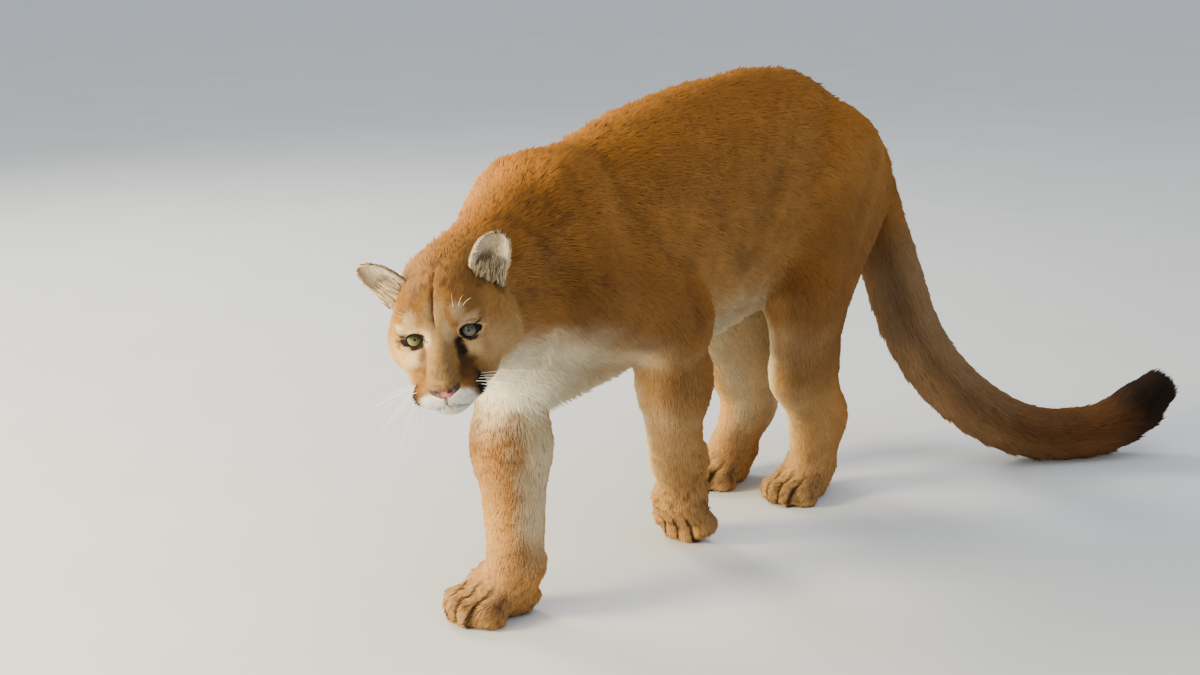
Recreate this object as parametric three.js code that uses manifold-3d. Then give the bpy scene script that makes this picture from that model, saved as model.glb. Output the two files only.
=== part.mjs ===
// A cougar, life size, walking with its head low and turned to its left.
// Millimetres, +Z up. The animal faces -Y and its left side is +X. The floor is z = 0.
// The flesh is one smooth field of tapered bars and ellipsoids, meshed at a size that suits each part,
// and parted with thin plane cuts into head, neck, trunk, legs, paws, tail, ears and eyes.
import * as THREE from "three";
import { mergeVertices } from "three/addons/utils/BufferGeometryUtils.js";
import Module from "manifold-3d";

const wasm = await Module();
wasm.setup();

// Driving dimensions
const GAP = 0.3; // between parts that touch
const EYE_RADIUS = 16.5;
const EYE_CENTRE = [37, -51, 20];
const LID_THICKNESS = 2.4;
const EAR_HEIGHT = 80;
const EAR_WIDTH = 50;
const EAR_THICKNESS = 5;
const TAIL_RADIUS = 50;

// Trunk profile from the front of the chest to the buttocks: place along Y, top line, under line, half width
const TRUNK = [
  [-478, 556, 400, 52],
  [-440, 616, 334, 84],
  [-380, 644, 292, 102],
  [-300, 664, 293, 112],
  [-200, 696, 310, 118],
  [-80, 718, 308, 120],
  [40, 730, 322, 114],
  [140, 734, 346, 106],
  [240, 721, 384, 100],
  [330, 674, 430, 90],
  [400, 630, 470, 70],
  [440, 585, 515, 48],
];

// Joints of each leg
const FRONT_LEFT = {
  side: 1,
  blade: [50, -362, 592],
  shoulder: [102, -398, 462],
  elbow: [101, -194, 392],
  wrist: [36, -109, 140],
};
const FRONT_RIGHT = {
  side: -1,
  blade: [-50, -382, 590],
  shoulder: [-98, -430, 452],
  elbow: [-68, -376, 330],
  wrist: [46, -482, 84],
};
const HIND_LEFT = {
  side: 1,
  hip: [72, 304, 580],
  seat: [50, 400, 506],
  knee: [102, 146, 366],
  calf: [70, 196, 236],
  heel: [68, 286, 146],
  hock: [68, 246, 124],
  toes: [62, 236, 44],
};
const HIND_RIGHT = {
  side: -1,
  hip: [-72, 296, 580],
  seat: [-50, 396, 506],
  knee: [-112, 130, 366],
  calf: [-92, 232, 222],
  heel: [-90, 306, 146],
  hock: [-90, 264, 124],
  toes: [-90, 204, 42],
};

// Paws: place of the pad's middle, heading from straight ahead towards the left, pitch toes-down, size,
// and where the leg comes in, in the paw's own frame
const PAWS = {
  front_right: { at: [22, -501, -1], heading: -3, pitch: 0, size: 1.03, ankle: [22, 20, 74], heel: [22, 24, 30] },
  front_left: { at: [38, -66, 75], heading: 6, pitch: 90, size: 1.04, ankle: [6, 66, 34], heel: [0, 12, 22] },
  hind_left: { at: [60, 214, -1], heading: 2, pitch: 0, size: 0.98, ankle: [0, 34, 60], heel: [0, 20, 24] },
  hind_right: { at: [-90, 190, -1], heading: -2, pitch: 0, size: 0.98, ankle: [0, 34, 60], heel: [0, 20, 24] },
};

// Head: middle of the skull, heading towards the left, nose-down pitch, roll with the left side up
const HEAD = { at: [129, -684, 475], heading: 39, pitch: 14, roll: 13.3 };

// Tail: its middle line from the root to the tip
const TAIL = [
  [0, 412, 572],
  [2, 462, 518],
  [22, 484, 430],
  [50, 500, 340],
  [80, 514, 250],
  [130, 536, 168],
  [190, 572, 106],
  [248, 636, 60],
  [303, 706, 46],
  [350, 768, 54],
  [386, 820, 86],
  [400, 844, 108],
];

// Smooth union of two distances over the blend width k
function join(a, b, k) {
  const h = Math.max(k - Math.abs(a - b), 0) / k;
  return Math.min(a, b) - (h * h * k) / 4;
}

function unit(a) {
  const l = Math.hypot(...a);
  return a.map((c) => c / l);
}

function cross(a, b) {
  return [a[1] * b[2] - a[2] * b[1], a[2] * b[0] - a[0] * b[2], a[0] * b[1] - a[1] * b[0]];
}

const mix = (a, b, t) => a + (b - a) * t;
const norm = (a, b, c) => Math.sqrt(a * a + b * b + c * c);

// A tapered bar with an elliptical section; its radii are [across, in depth] at each end
function bar(a, b, ra, rb, blend = 30, across = [1, 0, 0]) {
  const axis = [b[0] - a[0], b[1] - a[1], b[2] - a[2]];
  const length = Math.hypot(...axis);
  const n = axis.map((c) => c / length);
  const depth = unit(cross(n, across));
  const side = cross(depth, n);
  const distance = (x, y, z) => {
    const px = x - a[0],
      py = y - a[1],
      pz = z - a[2];
    const along = px * n[0] + py * n[1] + pz * n[2];
    const t = Math.min(Math.max(along / length, 0), 1);
    const over = along - t * length;
    const u = px * side[0] + py * side[1] + pz * side[2];
    const w = px * depth[0] + py * depth[1] + pz * depth[2];
    const r1 = mix(ra[0], rb[0], t),
      r2 = mix(ra[1], rb[1], t),
      r3 = (r1 + r2) / 2;
    const k0 = norm(u / r1, w / r2, over / r3);
    const k1 = norm(u / (r1 * r1), w / (r2 * r2), over / (r3 * r3));
    return k1 < 1e-9 ? -Math.min(r1, r2) : (k0 * (k0 - 1)) / k1;
  };
  return { distance, blend };
}

// An ellipsoid with its radii along X, Y and Z
function ball(c, r, blend = 30) {
  const distance = (x, y, z) => {
    const px = x - c[0],
      py = y - c[1],
      pz = z - c[2];
    const k0 = norm(px / r[0], py / r[1], pz / r[2]);
    const k1 = norm(px / r[0] ** 2, py / r[1] ** 2, pz / r[2] ** 2);
    return k1 < 1e-9 ? -Math.min(...r) : (k0 * (k0 - 1)) / k1;
  };
  return { distance, blend };
}

// The smooth union of a list of forms
function group(forms, blend = 30) {
  const distance = (x, y, z) => {
    let d = 1e6;
    for (const form of forms) d = join(d, form.distance(x, y, z), form.blend);
    return d;
  };
  return { distance, blend };
}

// A form made in its own frame, placed by a matrix without scale and sized evenly
function placed(form, matrix, size = 1) {
  const e = matrix.clone().invert().elements.map((c) => c / size);
  const distance = (x, y, z) =>
    size *
    form.distance(
      e[0] * x + e[4] * y + e[8] * z + e[12],
      e[1] * x + e[5] * y + e[9] * z + e[13],
      e[2] * x + e[6] * y + e[10] * z + e[14],
    );
  return { distance, blend: form.blend };
}

function mirrored(form) {
  return { distance: (x, y, z) => form.distance(Math.abs(x), y, z), blend: form.blend };
}

// A frame whose -Y axis has this heading towards +X, dips by pitch, and rolls with its left side up
function frameOf({ at, heading, pitch = 0, roll = 0 }) {
  const turn = THREE.MathUtils.degToRad;
  return new THREE.Matrix4()
    .makeTranslation(...at)
    .multiply(new THREE.Matrix4().makeRotationZ(turn(heading)))
    .multiply(new THREE.Matrix4().makeRotationX(turn(pitch)))
    .multiply(new THREE.Matrix4().makeRotationY(turn(-roll)));
}

// Smooth curve through the trunk's stations at a place along Y
function station(y) {
  const last = TRUNK.length - 1;
  const clamped = Math.min(Math.max(y, TRUNK[0][0]), TRUNK[last][0]);
  let i = 0;
  while (i < last - 1 && clamped > TRUNK[i + 1][0]) i++;
  const [p0, p1, p2, p3] = [-1, 0, 1, 2].map((k) => TRUNK[Math.min(Math.max(i + k, 0), last)]);
  const t = (clamped - p1[0]) / (p2[0] - p1[0]);
  return [1, 2, 3].map((c) => {
    const m1 = ((p2[c] - p0[c]) / (p2[0] - p0[0])) * (p2[0] - p1[0]);
    const m2 = ((p3[c] - p1[c]) / (p3[0] - p1[0])) * (p2[0] - p1[0]);
    return (
      (2 * t ** 3 - 3 * t ** 2 + 1) * p1[c] +
      (t ** 3 - 2 * t ** 2 + t) * m1 +
      (3 * t ** 2 - 2 * t ** 3) * p2[c] +
      (t ** 3 - t ** 2) * m2
    );
  });
}

// The trunk: an upright egg at each station, rounded off beyond its two ends
const trunkCore = {
  distance: (x, y, z) => {
    const [top, under, half] = station(y);
    const middle = under + (top - under) * 0.46;
    const height = z > middle ? top - middle : middle - under;
    const over = y < TRUNK[0][0] ? y - TRUNK[0][0] : Math.max(y - TRUNK[TRUNK.length - 1][0], 0);
    const r3 = half * 0.7;
    const k0 = norm(x / half, (z - middle) / height, over / r3);
    const k1 = norm(x / half ** 2, (z - middle) / height ** 2, over / r3 ** 2);
    return k1 < 1e-9 ? -half : (k0 * (k0 - 1)) / k1;
  },
  blend: 30,
};

// The point a share of the way from one joint to the next
const between = (a, b, t) => a.map((c, i) => mix(c, b[i], t));

// Muscle of a front leg from the shoulder blade to the wrist
function foreleg({ side, blade, shoulder, elbow, wrist }) {
  const s = side;
  const upperArm = [blade[0] + 20 * s, blade[1] + 96, blade[2] - 92];
  return [
    bar(blade, shoulder, [28, 58], [44, 60], 45),
    bar(shoulder, elbow, [44, 64], [46, 54], 40),
    bar(upperArm, elbow, [32, 52], [40, 48], 40),
    bar(elbow, between(elbow, wrist, 0.45), [50, 58], [56, 55], 26),
    bar(between(elbow, wrist, 0.4), wrist, [56, 56], [40, 40], 26),
  ];
}

// Muscle of a hind leg from the hip to the toes' root
function hindleg({ side, hip, seat, knee, calf, heel, hock, toes }) {
  const s = side;
  return [
    bar(hip, knee, [54, 92], [50, 74], 45),
    bar(seat, [calf[0] - 4 * s, calf[1] + 10, calf[2] + 40], [46, 54], [38, 58], 45),
    bar(knee, calf, [52, 78], [44, 70], 34),
    bar(calf, hock, [43, 66], [38, 56], 30),
    bar(between(calf, heel, 0.35), heel, [24, 34], [22, 30], 24),
    bar(hock, toes, [36, 54], [36, 44], 24),
  ];
}

// A paw in its own frame: on the floor at z = 0, toes towards -Y
const TOES = [
  { x: -34, reach: -36 },
  { x: -12.5, reach: -52 },
  { x: 12.5, reach: -52 },
  { x: 34, reach: -36 },
];
function paw({ ankle, heel }) {
  const palm = [
    bar(ankle, [0, -4, 37], [35, 33], [42, 25], 20),
    bar(ankle, heel, [33, 31], [30, 27], 16),
    ball([0, 12, 17], [36, 30, 19], 14),
  ];
  const toes = TOES.flatMap(({ x, reach }) => [
    bar([x * 0.72, -6, 34], [x, reach, 21], [15, 17], [17, 17], 9),
    ball([x, reach - 5, 17], [16, 18, 17.5], 6),
  ]);
  return group([...palm, ...toes], 18);
}

// The head in its own frame, right and left alike
function headFlesh() {
  return mirrored(
    group([
      ball([0, 10, 20], [68, 82, 58], 30),
      ball([0, 66, 8], [62, 62, 60], 30),
      ball([22, -42, 36], [34, 30, 24], 20),
      ball([48, -4, -8], [34, 50, 36], 24),
      ball([34, -44, -36], [24, 32, 22], 20),
      ball([46, 24, -32], [34, 42, 34], 24),
      bar([0, -44, 30], [0, -112, -12], [18, 20], [17, 15], 18),
      bar([0, -58, -22], [0, -102, -33], [36, 30], [33, 24], 18),
      ball([20, -102, -36], [22, 21, 17.5], 10),
      ball([0, -121, -20], [14, 12, 10], 8),
      ball([0, -101, -53], [20, 18, 13], 12),
      bar([0, -84, -48], [32, 20, -50], [22, 16], [26, 22], 20),
      ball([0, 30, -38], [48, 54, 36], 26),
      ball([33, -56, -8], [24, 22, 20], 16),
    ], 30),
  );
}

const headFrame = frameOf(HEAD);
const inHead = (x, y, z) => new THREE.Vector3(x, y, z).applyMatrix4(headFrame).toArray();

const head = placed(headFlesh(), headFrame);
const nape = inHead(0, 66, 6);
const neck = group([
  bar([0, -380, 528], nape, [92, 115], [67, 72], 50),
  bar([0, -400, 430], inHead(0, 50, -36), [84, 84], [54, 46], 50),
  bar([-6, -430, 384], [-14, -420, 338], [72, 60], [58, 48], 50),
], 50);
const legs = {
  front_left: group(foreleg(FRONT_LEFT)),
  front_right: group(foreleg(FRONT_RIGHT)),
  hind_left: group(hindleg(HIND_LEFT)),
  hind_right: group(hindleg(HIND_RIGHT)),
};
const paws = Object.fromEntries(
  Object.entries(PAWS).map(([name, place]) => {
    return [name, placed(paw(place), frameOf(place), place.size)];
  }),
);
const tailLine = new THREE.CatmullRomCurve3(TAIL.map((p) => new THREE.Vector3(...p)));
const TAIL_STEPS = 22;
const tailPoints = tailLine.getSpacedPoints(TAIL_STEPS).map((p) => p.toArray());
const tailRadius = (t) => {
  const taper = 1.1 - 0.22 * t + 0.1 * Math.sin(Math.PI * t) + 0.45 * Math.max(t - 0.75, 0);
  return TAIL_RADIUS * taper * Math.sqrt(Math.min(1, (1.07 - t) * 10));
};
const tailBars = tailPoints.slice(1).map((p, i) => {
  const ra = tailRadius(i / TAIL_STEPS),
    rb = tailRadius((i + 1) / TAIL_STEPS);
  return bar(tailPoints[i], p, [ra, ra], [rb, rb], 8);
});
const tail = group(tailBars, 24);

// The animal without its tail, then with the tail's root, then whole
function body(x, y, z) {
  let d = trunkCore.distance(x, y, z);
  d = join(d, neck.distance(x, y, z), 50);
  d = join(d, head.distance(x, y, z), 34);
  for (const name of Object.keys(legs)) {
    const limb = join(legs[name].distance(x, y, z), paws[name].distance(x, y, z), 16);
    d = join(d, limb, 42);
  }
  return d;
}
const ROOT_STEPS = 2;
const tailRoot = group(tailBars.slice(0, ROOT_STEPS), 24);
const rooted = (x, y, z) => join(body(x, y, z), tailRoot.distance(x, y, z), 40);

// Surface nets: a closed mesh of the field's zero level inside a box, one vertex a crossed cell
function meshOf(field, low, high, cell) {
  const n = [0, 1, 2].map((i) => Math.ceil((high[i] - low[i]) / cell) + 3);
  const at = (i, j, k) => (k * n[1] + j) * n[0] + i;
  const point = (i, j, k) => [low[0] + (i - 1) * cell, low[1] + (j - 1) * cell, low[2] + (k - 1) * cell];
  const values = new Float64Array(n[0] * n[1] * n[2]);
  for (let k = 0; k < n[2]; k++)
    for (let j = 0; j < n[1]; j++)
      for (let i = 0; i < n[0]; i++) {
        const border = !i || !j || !k || i === n[0] - 1 || j === n[1] - 1 || k === n[2] - 1;
        values[at(i, j, k)] = border ? cell : field(...point(i, j, k));
      }
  const vertexOf = new Map();
  const positions = [];
  const corner = [0, 1].flatMap((c) => [0, 1].flatMap((b) => [0, 1].map((a) => [a, b, c])));
  for (let k = 0; k < n[2] - 1; k++)
    for (let j = 0; j < n[1] - 1; j++)
      for (let i = 0; i < n[0] - 1; i++) {
        const inside = corner.map(([a, b, c]) => values[at(i + a, j + b, k + c)] < 0);
        if (inside.every((v) => v) || !inside.some((v) => v)) continue;
        const sum = [0, 0, 0];
        let count = 0;
        for (let p = 0; p < 8; p++)
          for (const step of [1, 2, 4]) {
            const q = p | step;
            if (q === p || inside[p] === inside[q]) continue;
            const [a, b] = [corner[p], corner[q]];
            const va = values[at(i + a[0], j + a[1], k + a[2])],
              vb = values[at(i + b[0], j + b[1], k + b[2])];
            const t = va / (va - vb);
            for (let c = 0; c < 3; c++) sum[c] += mix(a[c], b[c], t);
            count++;
          }
        const base = point(i, j, k);
        vertexOf.set(at(i, j, k), positions.length / 3);
        positions.push(...[0, 1, 2].map((c) => base[c] + (sum[c] / count) * cell));
      }
  const rings = [];
  const strides = [
    [1, 0, 0],
    [0, 1, 0],
    [0, 0, 1],
  ];
  for (let k = 0; k < n[2] - 1; k++)
    for (let j = 0; j < n[1] - 1; j++)
      for (let i = 0; i < n[0] - 1; i++)
        for (let c = 0; c < 3; c++) {
          if ([i, j, k].some((index, axis) => axis !== c && index === 0)) continue;
          const s = strides[c],
            u = strides[(c + 1) % 3],
            w = strides[(c + 2) % 3];
          const a = values[at(i, j, k)] < 0,
            b = values[at(i + s[0], j + s[1], k + s[2])] < 0;
          if (a === b) continue;
          const ring = [
            [0, 0],
            [1, 0],
            [1, 1],
            [0, 1],
          ].map(([p, q]) =>
            vertexOf.get(at(i - p * u[0] - q * w[0], j - p * u[1] - q * w[1], k - p * u[2] - q * w[2])),
          );
          if (!a) ring.reverse();
          rings.push(ring);
        }
  settle(positions, field, cell);
  // each four-sided cell is split along the diagonal that lies closer to the surface
  const off = (a, b) => {
    const middle = [0, 1, 2].map((c) => (positions[a * 3 + c] + positions[b * 3 + c]) / 2);
    return Math.abs(field(...middle));
  };
  const faces = rings.flatMap(([a, b, c, d]) => (off(a, c) <= off(b, d) ? [a, b, c, a, c, d] : [a, b, d, b, c, d]));
  return { positions, faces };
}

// Moves each vertex onto the field's zero level along its slope, no further than a share of the cell
const SETTLE_PASSES = 3;
const SETTLE_SHARE = 0.3;
function settle(positions, field, cell) {
  const e = cell * 0.05;
  for (let pass = 0; pass < SETTLE_PASSES; pass++)
    for (let i = 0; i < positions.length; i += 3) {
      const [x, y, z] = positions.slice(i, i + 3);
      const d = field(x, y, z);
      const g = [
        (field(x + e, y, z) - field(x - e, y, z)) / (2 * e),
        (field(x, y + e, z) - field(x, y - e, z)) / (2 * e),
        (field(x, y, z + e) - field(x, y, z - e)) / (2 * e),
      ];
      const slope = Math.max(Math.hypot(...g), 0.3);
      const move = Math.max(Math.min(d / slope, cell * SETTLE_SHARE), -cell * SETTLE_SHARE);
      for (let c = 0; c < 3; c++) positions[i + c] -= (g[c] / slope) * move;
    }
}

function solidOfField(field, low, high, cell) {
  const { positions, faces } = meshOf(field, low, high, cell);
  const solid = new wasm.Manifold(
    new wasm.Mesh({ numProp: 3, vertProperties: new Float32Array(positions), triVerts: new Uint32Array(faces) }),
  );
  return solid;
}

function solidOfGeometry(geometry) {
  const g = geometry.clone();
  g.deleteAttribute("normal");
  g.deleteAttribute("uv");
  const merged = mergeVertices(g, 1e-3);
  return new wasm.Manifold(
    new wasm.Mesh({
      numProp: 3,
      vertProperties: new Float32Array(merged.attributes.position.array),
      triVerts: new Uint32Array(merged.index.array),
    }),
  );
}

function geometryOf(solid) {
  const largest = solid.decompose().sort((a, b) => b.volume() - a.volume())[0];
  const m = largest.getMesh();
  const v = new Float32Array(m.numVert * 3);
  for (let i = 0; i < m.numVert; i++)
    v.set(m.vertProperties.subarray(i * m.numProp, i * m.numProp + 3), i * 3);
  return new THREE.BufferGeometry()
    .setAttribute("position", new THREE.BufferAttribute(v, 3))
    .setIndex(new THREE.BufferAttribute(m.triVerts, 1));
}

// The part of a solid on the side of a plane that its normal points to, half a gap off the plane
function keep(solid, point, normal, gap = GAP / 2) {
  const n = unit(normal);
  return solid.trimByPlane(n, n[0] * point[0] + n[1] * point[1] + n[2] * point[2] + gap);
}
const opposite = (n) => n.map((c) => -c);

// A block between two corners, placed by a matrix
function block(low, high, matrix = new THREE.Matrix4(), grow = 0) {
  const size = high.map((c, i) => c - low[i] + 2 * grow);
  const middle = high.map((c, i) => (c + low[i]) / 2);
  const g = new THREE.BoxGeometry(...size).translate(...middle).applyMatrix4(matrix);
  return solidOfGeometry(g);
}

const FLOOR = [0, 0, 0];
const UP = [0, 0, 1];
const DOWN = [0, 0, -1];

// The block that a leg's upper part is taken from: its inner face leans away from the trunk's middle
function legRegion({ side, front, back, foot, lean }, grow) {
  const frame = new THREE.Matrix4()
    .makeTranslation(foot * side, 0, 300)
    .multiply(new THREE.Matrix4().makeRotationY(THREE.MathUtils.degToRad(lean * side)));
  const low = side > 0 ? [0, front, -300] : [-300, front, -300];
  const high = side > 0 ? [300, back, 420] : [0, back, 420];
  return block(low, high, frame, grow);
}
const REGIONS = {
  front_left: { side: 1, front: -520, back: -108, foot: 26, lean: 24.8 },
  front_right: { side: -1, front: -520, back: -118, foot: 4, lean: 24.8 },
  hind_left: { side: 1, front: 56, back: 466, foot: 4, lean: 22 },
  hind_right: { side: -1, front: 56, back: 466, foot: 4, lean: 22 },
};

const TRUNK_UNDERSIDE = 268;

// Each leg: its region, the boxes and cells its three parts are meshed in, and the levels they part at
const LEGS = [
  {
    region: REGIONS.front_left,
    names: ["upper_foreleg_left", "forearm_left", "forepaw_left"],
    levels: [TRUNK_UNDERSIDE, 150],
    boxes: [
      [[-10, -500, 240], [200, -90, 640]],
      [[-20, -290, 130], [180, -20, 320]],
      [[-43, -204, -34], [140, 20, 180]],
    ],
  },
  {
    region: REGIONS.front_right,
    names: ["upper_foreleg_right", "forearm_right", "forepaw_right"],
    levels: [TRUNK_UNDERSIDE, 88],
    boxes: [
      [[-200, -520, 240], [20, -110, 640]],
      [[-150, -560, 60], [120, -280, 300]],
      [[-60, -620, -30], [140, -420, 110]],
    ],
  },
  {
    region: REGIONS.hind_left,
    names: ["thigh_left", "shank_left", "hindpaw_left"],
    levels: [300, 84],
    boxes: [
      [[-20, 30, 270], [220, 500, 720]],
      [[-10, 60, 60], [180, 380, 330]],
      [[-20, 90, -30], [150, 330, 110]],
    ],
  },
  {
    region: REGIONS.hind_right,
    names: ["thigh_right", "shank_right", "hindpaw_right"],
    levels: [300, 84],
    boxes: [
      [[-220, 30, 270], [20, 500, 720]],
      [[-190, 60, 60], [-5, 390, 330]],
      [[-190, 90, -30], [-5, 330, 110]],
    ],
  },
];
const CELLS = { torso: 36, neck: 29, upper: 32, lower: 25, paw: 14, head: 11.5, tail: 28 };

// Cuts across the neck, behind the head, and across the tail
const NECK_CUT = { point: [40, -512, 500], normal: [0.386, -0.912, -0.143] };
const HEAD_CUT = { point: inHead(0, 84, 0), normal: directionInHead(0, -1, 0.12) };
const TAIL_ROOT = 0.1; // share of the tail that stays with the trunk

function directionInHead(x, y, z) {
  return new THREE.Vector3(x, y, z).transformDirection(headFrame).toArray();
}

// Places along the tail, as shares of its length, where its parts meet
const TAIL_CUTS = [TAIL_ROOT, 0.42, 0.72].map((t) => ({
  point: tailLine.getPointAt(t).toArray(),
  normal: tailLine.getTangentAt(t).toArray(),
}));

const cougar = new THREE.Group();
function add(name, solid, material) {
  const mesh = new THREE.Mesh(geometryOf(solid), material);
  mesh.name = name;
  cougar.add(mesh);
}
const coat = new THREE.MeshStandardMaterial({ color: 0xa8743f, roughness: 0.92, metalness: 0 });
const paleCoat = new THREE.MeshStandardMaterial({ color: 0xd9c4a0, roughness: 0.92, metalness: 0 });
const tailCoat = new THREE.MeshStandardMaterial({ color: 0x5b4330, roughness: 0.92, metalness: 0 });
const noseSkin = new THREE.MeshStandardMaterial({ color: 0xb5706a, roughness: 0.55, metalness: 0 });
const iris = new THREE.MeshStandardMaterial({ color: 0x9aa27c, roughness: 0.08, metalness: 0 });

// The hanging part of the tail, a gap larger, to part it from the rump
const tailField = (x, y, z) => tail.distance(x, y, z);
const TAIL_BOX = [[-80, 390, 60], [210, 650, 620]];
let tailRoom = solidOfField((x, y, z) => tailField(x, y, z) - 6 * GAP, ...TAIL_BOX, CELLS.tail);
tailRoom = keep(tailRoom, TAIL_CUTS[0].point, TAIL_CUTS[0].normal, -GAP / 2);

// Trunk
let torso = solidOfField(rooted, [-200, -540, 230], [200, 540, 770], CELLS.torso);
torso = keep(torso, NECK_CUT.point, opposite(NECK_CUT.normal));
torso = keep(torso, [0, 0, TRUNK_UNDERSIDE], UP);
for (const region of Object.values(REGIONS)) torso = torso.subtract(legRegion(region, GAP / 2));
add("torso", torso.subtract(tailRoom), coat);

// Neck
let neckSolid = solidOfField(body, [-150, -720, 260], [240, -400, 700], CELLS.neck);
neckSolid = keep(neckSolid, NECK_CUT.point, NECK_CUT.normal);
neckSolid = keep(neckSolid, HEAD_CUT.point, opposite(HEAD_CUT.normal));
add("neck", neckSolid, coat);

// Legs and paws
for (const { region, names, levels, boxes } of LEGS) {
  const [upper, lower, foot] = boxes;
  let thick = solidOfField(rooted, ...upper, CELLS.upper);
  thick = thick.intersect(legRegion(region, -GAP / 2));
  thick = keep(thick, [0, 0, levels[0]], UP);
  thick = keep(thick, NECK_CUT.point, opposite(NECK_CUT.normal));
  add(names[0], thick.subtract(tailRoom), coat);
  let thin = solidOfField(body, ...lower, CELLS.lower);
  const below = { ...region, front: region.front - 100, back: region.back + 200 };
  thin = thin.intersect(legRegion(below, -GAP / 2));
  thin = keep(thin, [0, 0, levels[0]], DOWN);
  add(names[1], keep(thin, [0, 0, levels[1]], UP), coat);
  let end = solidOfField(body, ...foot, CELLS.paw);
  end = keep(end, [0, 0, levels[1]], DOWN);
  add(names[2], keep(end, FLOOR, UP, 0), coat);
}

// Tail in three lengths
const TAIL_PARTS = [
  { name: "tail_base", low: TAIL_BOX[0], high: TAIL_BOX[1] },
  { name: "tail_middle", low: [40, 440, -20], high: [360, 780, 260] },
  { name: "tail_tip", low: [180, 580, -20], high: [480, 920, 190] },
];
TAIL_PARTS.forEach(({ name, low, high }, i) => {
  let length = solidOfField(tailField, low, high, CELLS.tail);
  length = keep(length, TAIL_CUTS[i].point, TAIL_CUTS[i].normal);
  if (i < 2) length = keep(length, TAIL_CUTS[i + 1].point, opposite(TAIL_CUTS[i + 1].normal));
  add(name, keep(length, FLOOR, UP, 0), tailCoat);
});

// Head, with its eyes, nose and ears
const HEAD_BOX = [[20, -850, 350], [250, -560, 590]];
let skull = solidOfField(body, ...HEAD_BOX, CELLS.head);
skull = keep(skull, HEAD_CUT.point, HEAD_CUT.normal);

// An ear in its own frame: a rounded cup that stands on z = 0 and opens towards -Y
const EAR_ACROSS = 8;
const EAR_UP = 7;
const EAR_CUP = 17;
const EAR_WIDEST = 0.36; // share of its height
function earGeometry() {
  const place = (u, v, layer) => {
    const over = Math.max(v - EAR_WIDEST, 0) / (1 - EAR_WIDEST);
    const full = Math.sqrt(Math.max(1 - over ** 2.3, 0.004)) * (0.9 + 0.1 * Math.min(v / EAR_WIDEST, 1));
    const cup = EAR_CUP * full * (1 - 0.35 * v);
    const thick = EAR_THICKNESS * (1 - 0.4 * v) * (layer ? 0.5 : -0.5);
    const turn = (u * Math.PI) / 2.1;
    const x = (EAR_WIDTH / 2) * full * Math.sin(turn);
    const y = cup * Math.cos(turn) - 6 * v * v;
    return [x + thick * 0.6 * Math.sin(turn), y + thick * Math.max(Math.cos(turn), 0.3), v * EAR_HEIGHT];
  };
  const rise = (j) => Math.sin((j / EAR_UP) * Math.PI / 2) ** 0.9;
  const positions = [];
  const faces = [];
  const row = EAR_ACROSS + 1;
  const layerSize = row * (EAR_UP + 1);
  for (const layer of [0, 1])
    for (let j = 0; j <= EAR_UP; j++)
      for (let i = 0; i <= EAR_ACROSS; i++) positions.push(...place((2 * i) / EAR_ACROSS - 1, rise(j), layer));
  const quad = (a, b, c, d) => faces.push(a, b, c, a, c, d);
  for (let j = 0; j < EAR_UP; j++)
    for (let i = 0; i < EAR_ACROSS; i++) {
      const p = j * row + i;
      quad(p, p + 1, p + 1 + row, p + row);
      const q = p + layerSize;
      quad(q, q + row, q + 1 + row, q + 1);
    }
  for (let i = 0; i < EAR_ACROSS; i++) {
    quad(i, i + layerSize, i + 1 + layerSize, i + 1);
    const p = EAR_UP * row + i;
    quad(p, p + 1, p + 1 + layerSize, p + layerSize);
  }
  for (let j = 0; j < EAR_UP; j++) {
    const p = j * row;
    quad(p, p + row, p + row + layerSize, p + layerSize);
    const q = p + EAR_ACROSS;
    quad(q, q + layerSize, q + row + layerSize, q + row);
  }
  const g = new THREE.BufferGeometry();
  g.setAttribute("position", new THREE.BufferAttribute(new Float32Array(positions), 3));
  g.setIndex(faces);
  return g;
}

// Where an ear stands on the head: base, tip and the way its cup faces, on the left side
const EAR_BASE = [56, 30, 36];
const EAR_TIP = { left: [84, 20, 104], right: [88, 20, 96] };
const EAR_SIZE = { left: 1, right: 0.93 };
const EAR_FACING = [0.35, -0.9, 0.1];
function earFrame(side) {
  const base = new THREE.Vector3(EAR_BASE[0] * side, EAR_BASE[1], EAR_BASE[2]);
  const [x, y, z] = side > 0 ? EAR_TIP.left : EAR_TIP.right;
  const tip = new THREE.Vector3(x * side, y, z);
  const up = tip.clone().sub(base).normalize();
  const facing = new THREE.Vector3(EAR_FACING[0] * side, EAR_FACING[1], EAR_FACING[2]);
  facing.addScaledVector(up, -facing.dot(up)).normalize();
  const across = new THREE.Vector3().crossVectors(facing, up).negate();
  const frame = new THREE.Matrix4().makeBasis(across, facing.clone().negate(), up).setPosition(base);
  const size = side > 0 ? EAR_SIZE.left : EAR_SIZE.right;
  return headFrame.clone().multiply(frame).multiply(new THREE.Matrix4().makeScale(size, size, size));
}
const grownHead = solidOfField((x, y, z) => body(x, y, z) - 2 * GAP, ...HEAD_BOX, CELLS.head);

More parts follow.
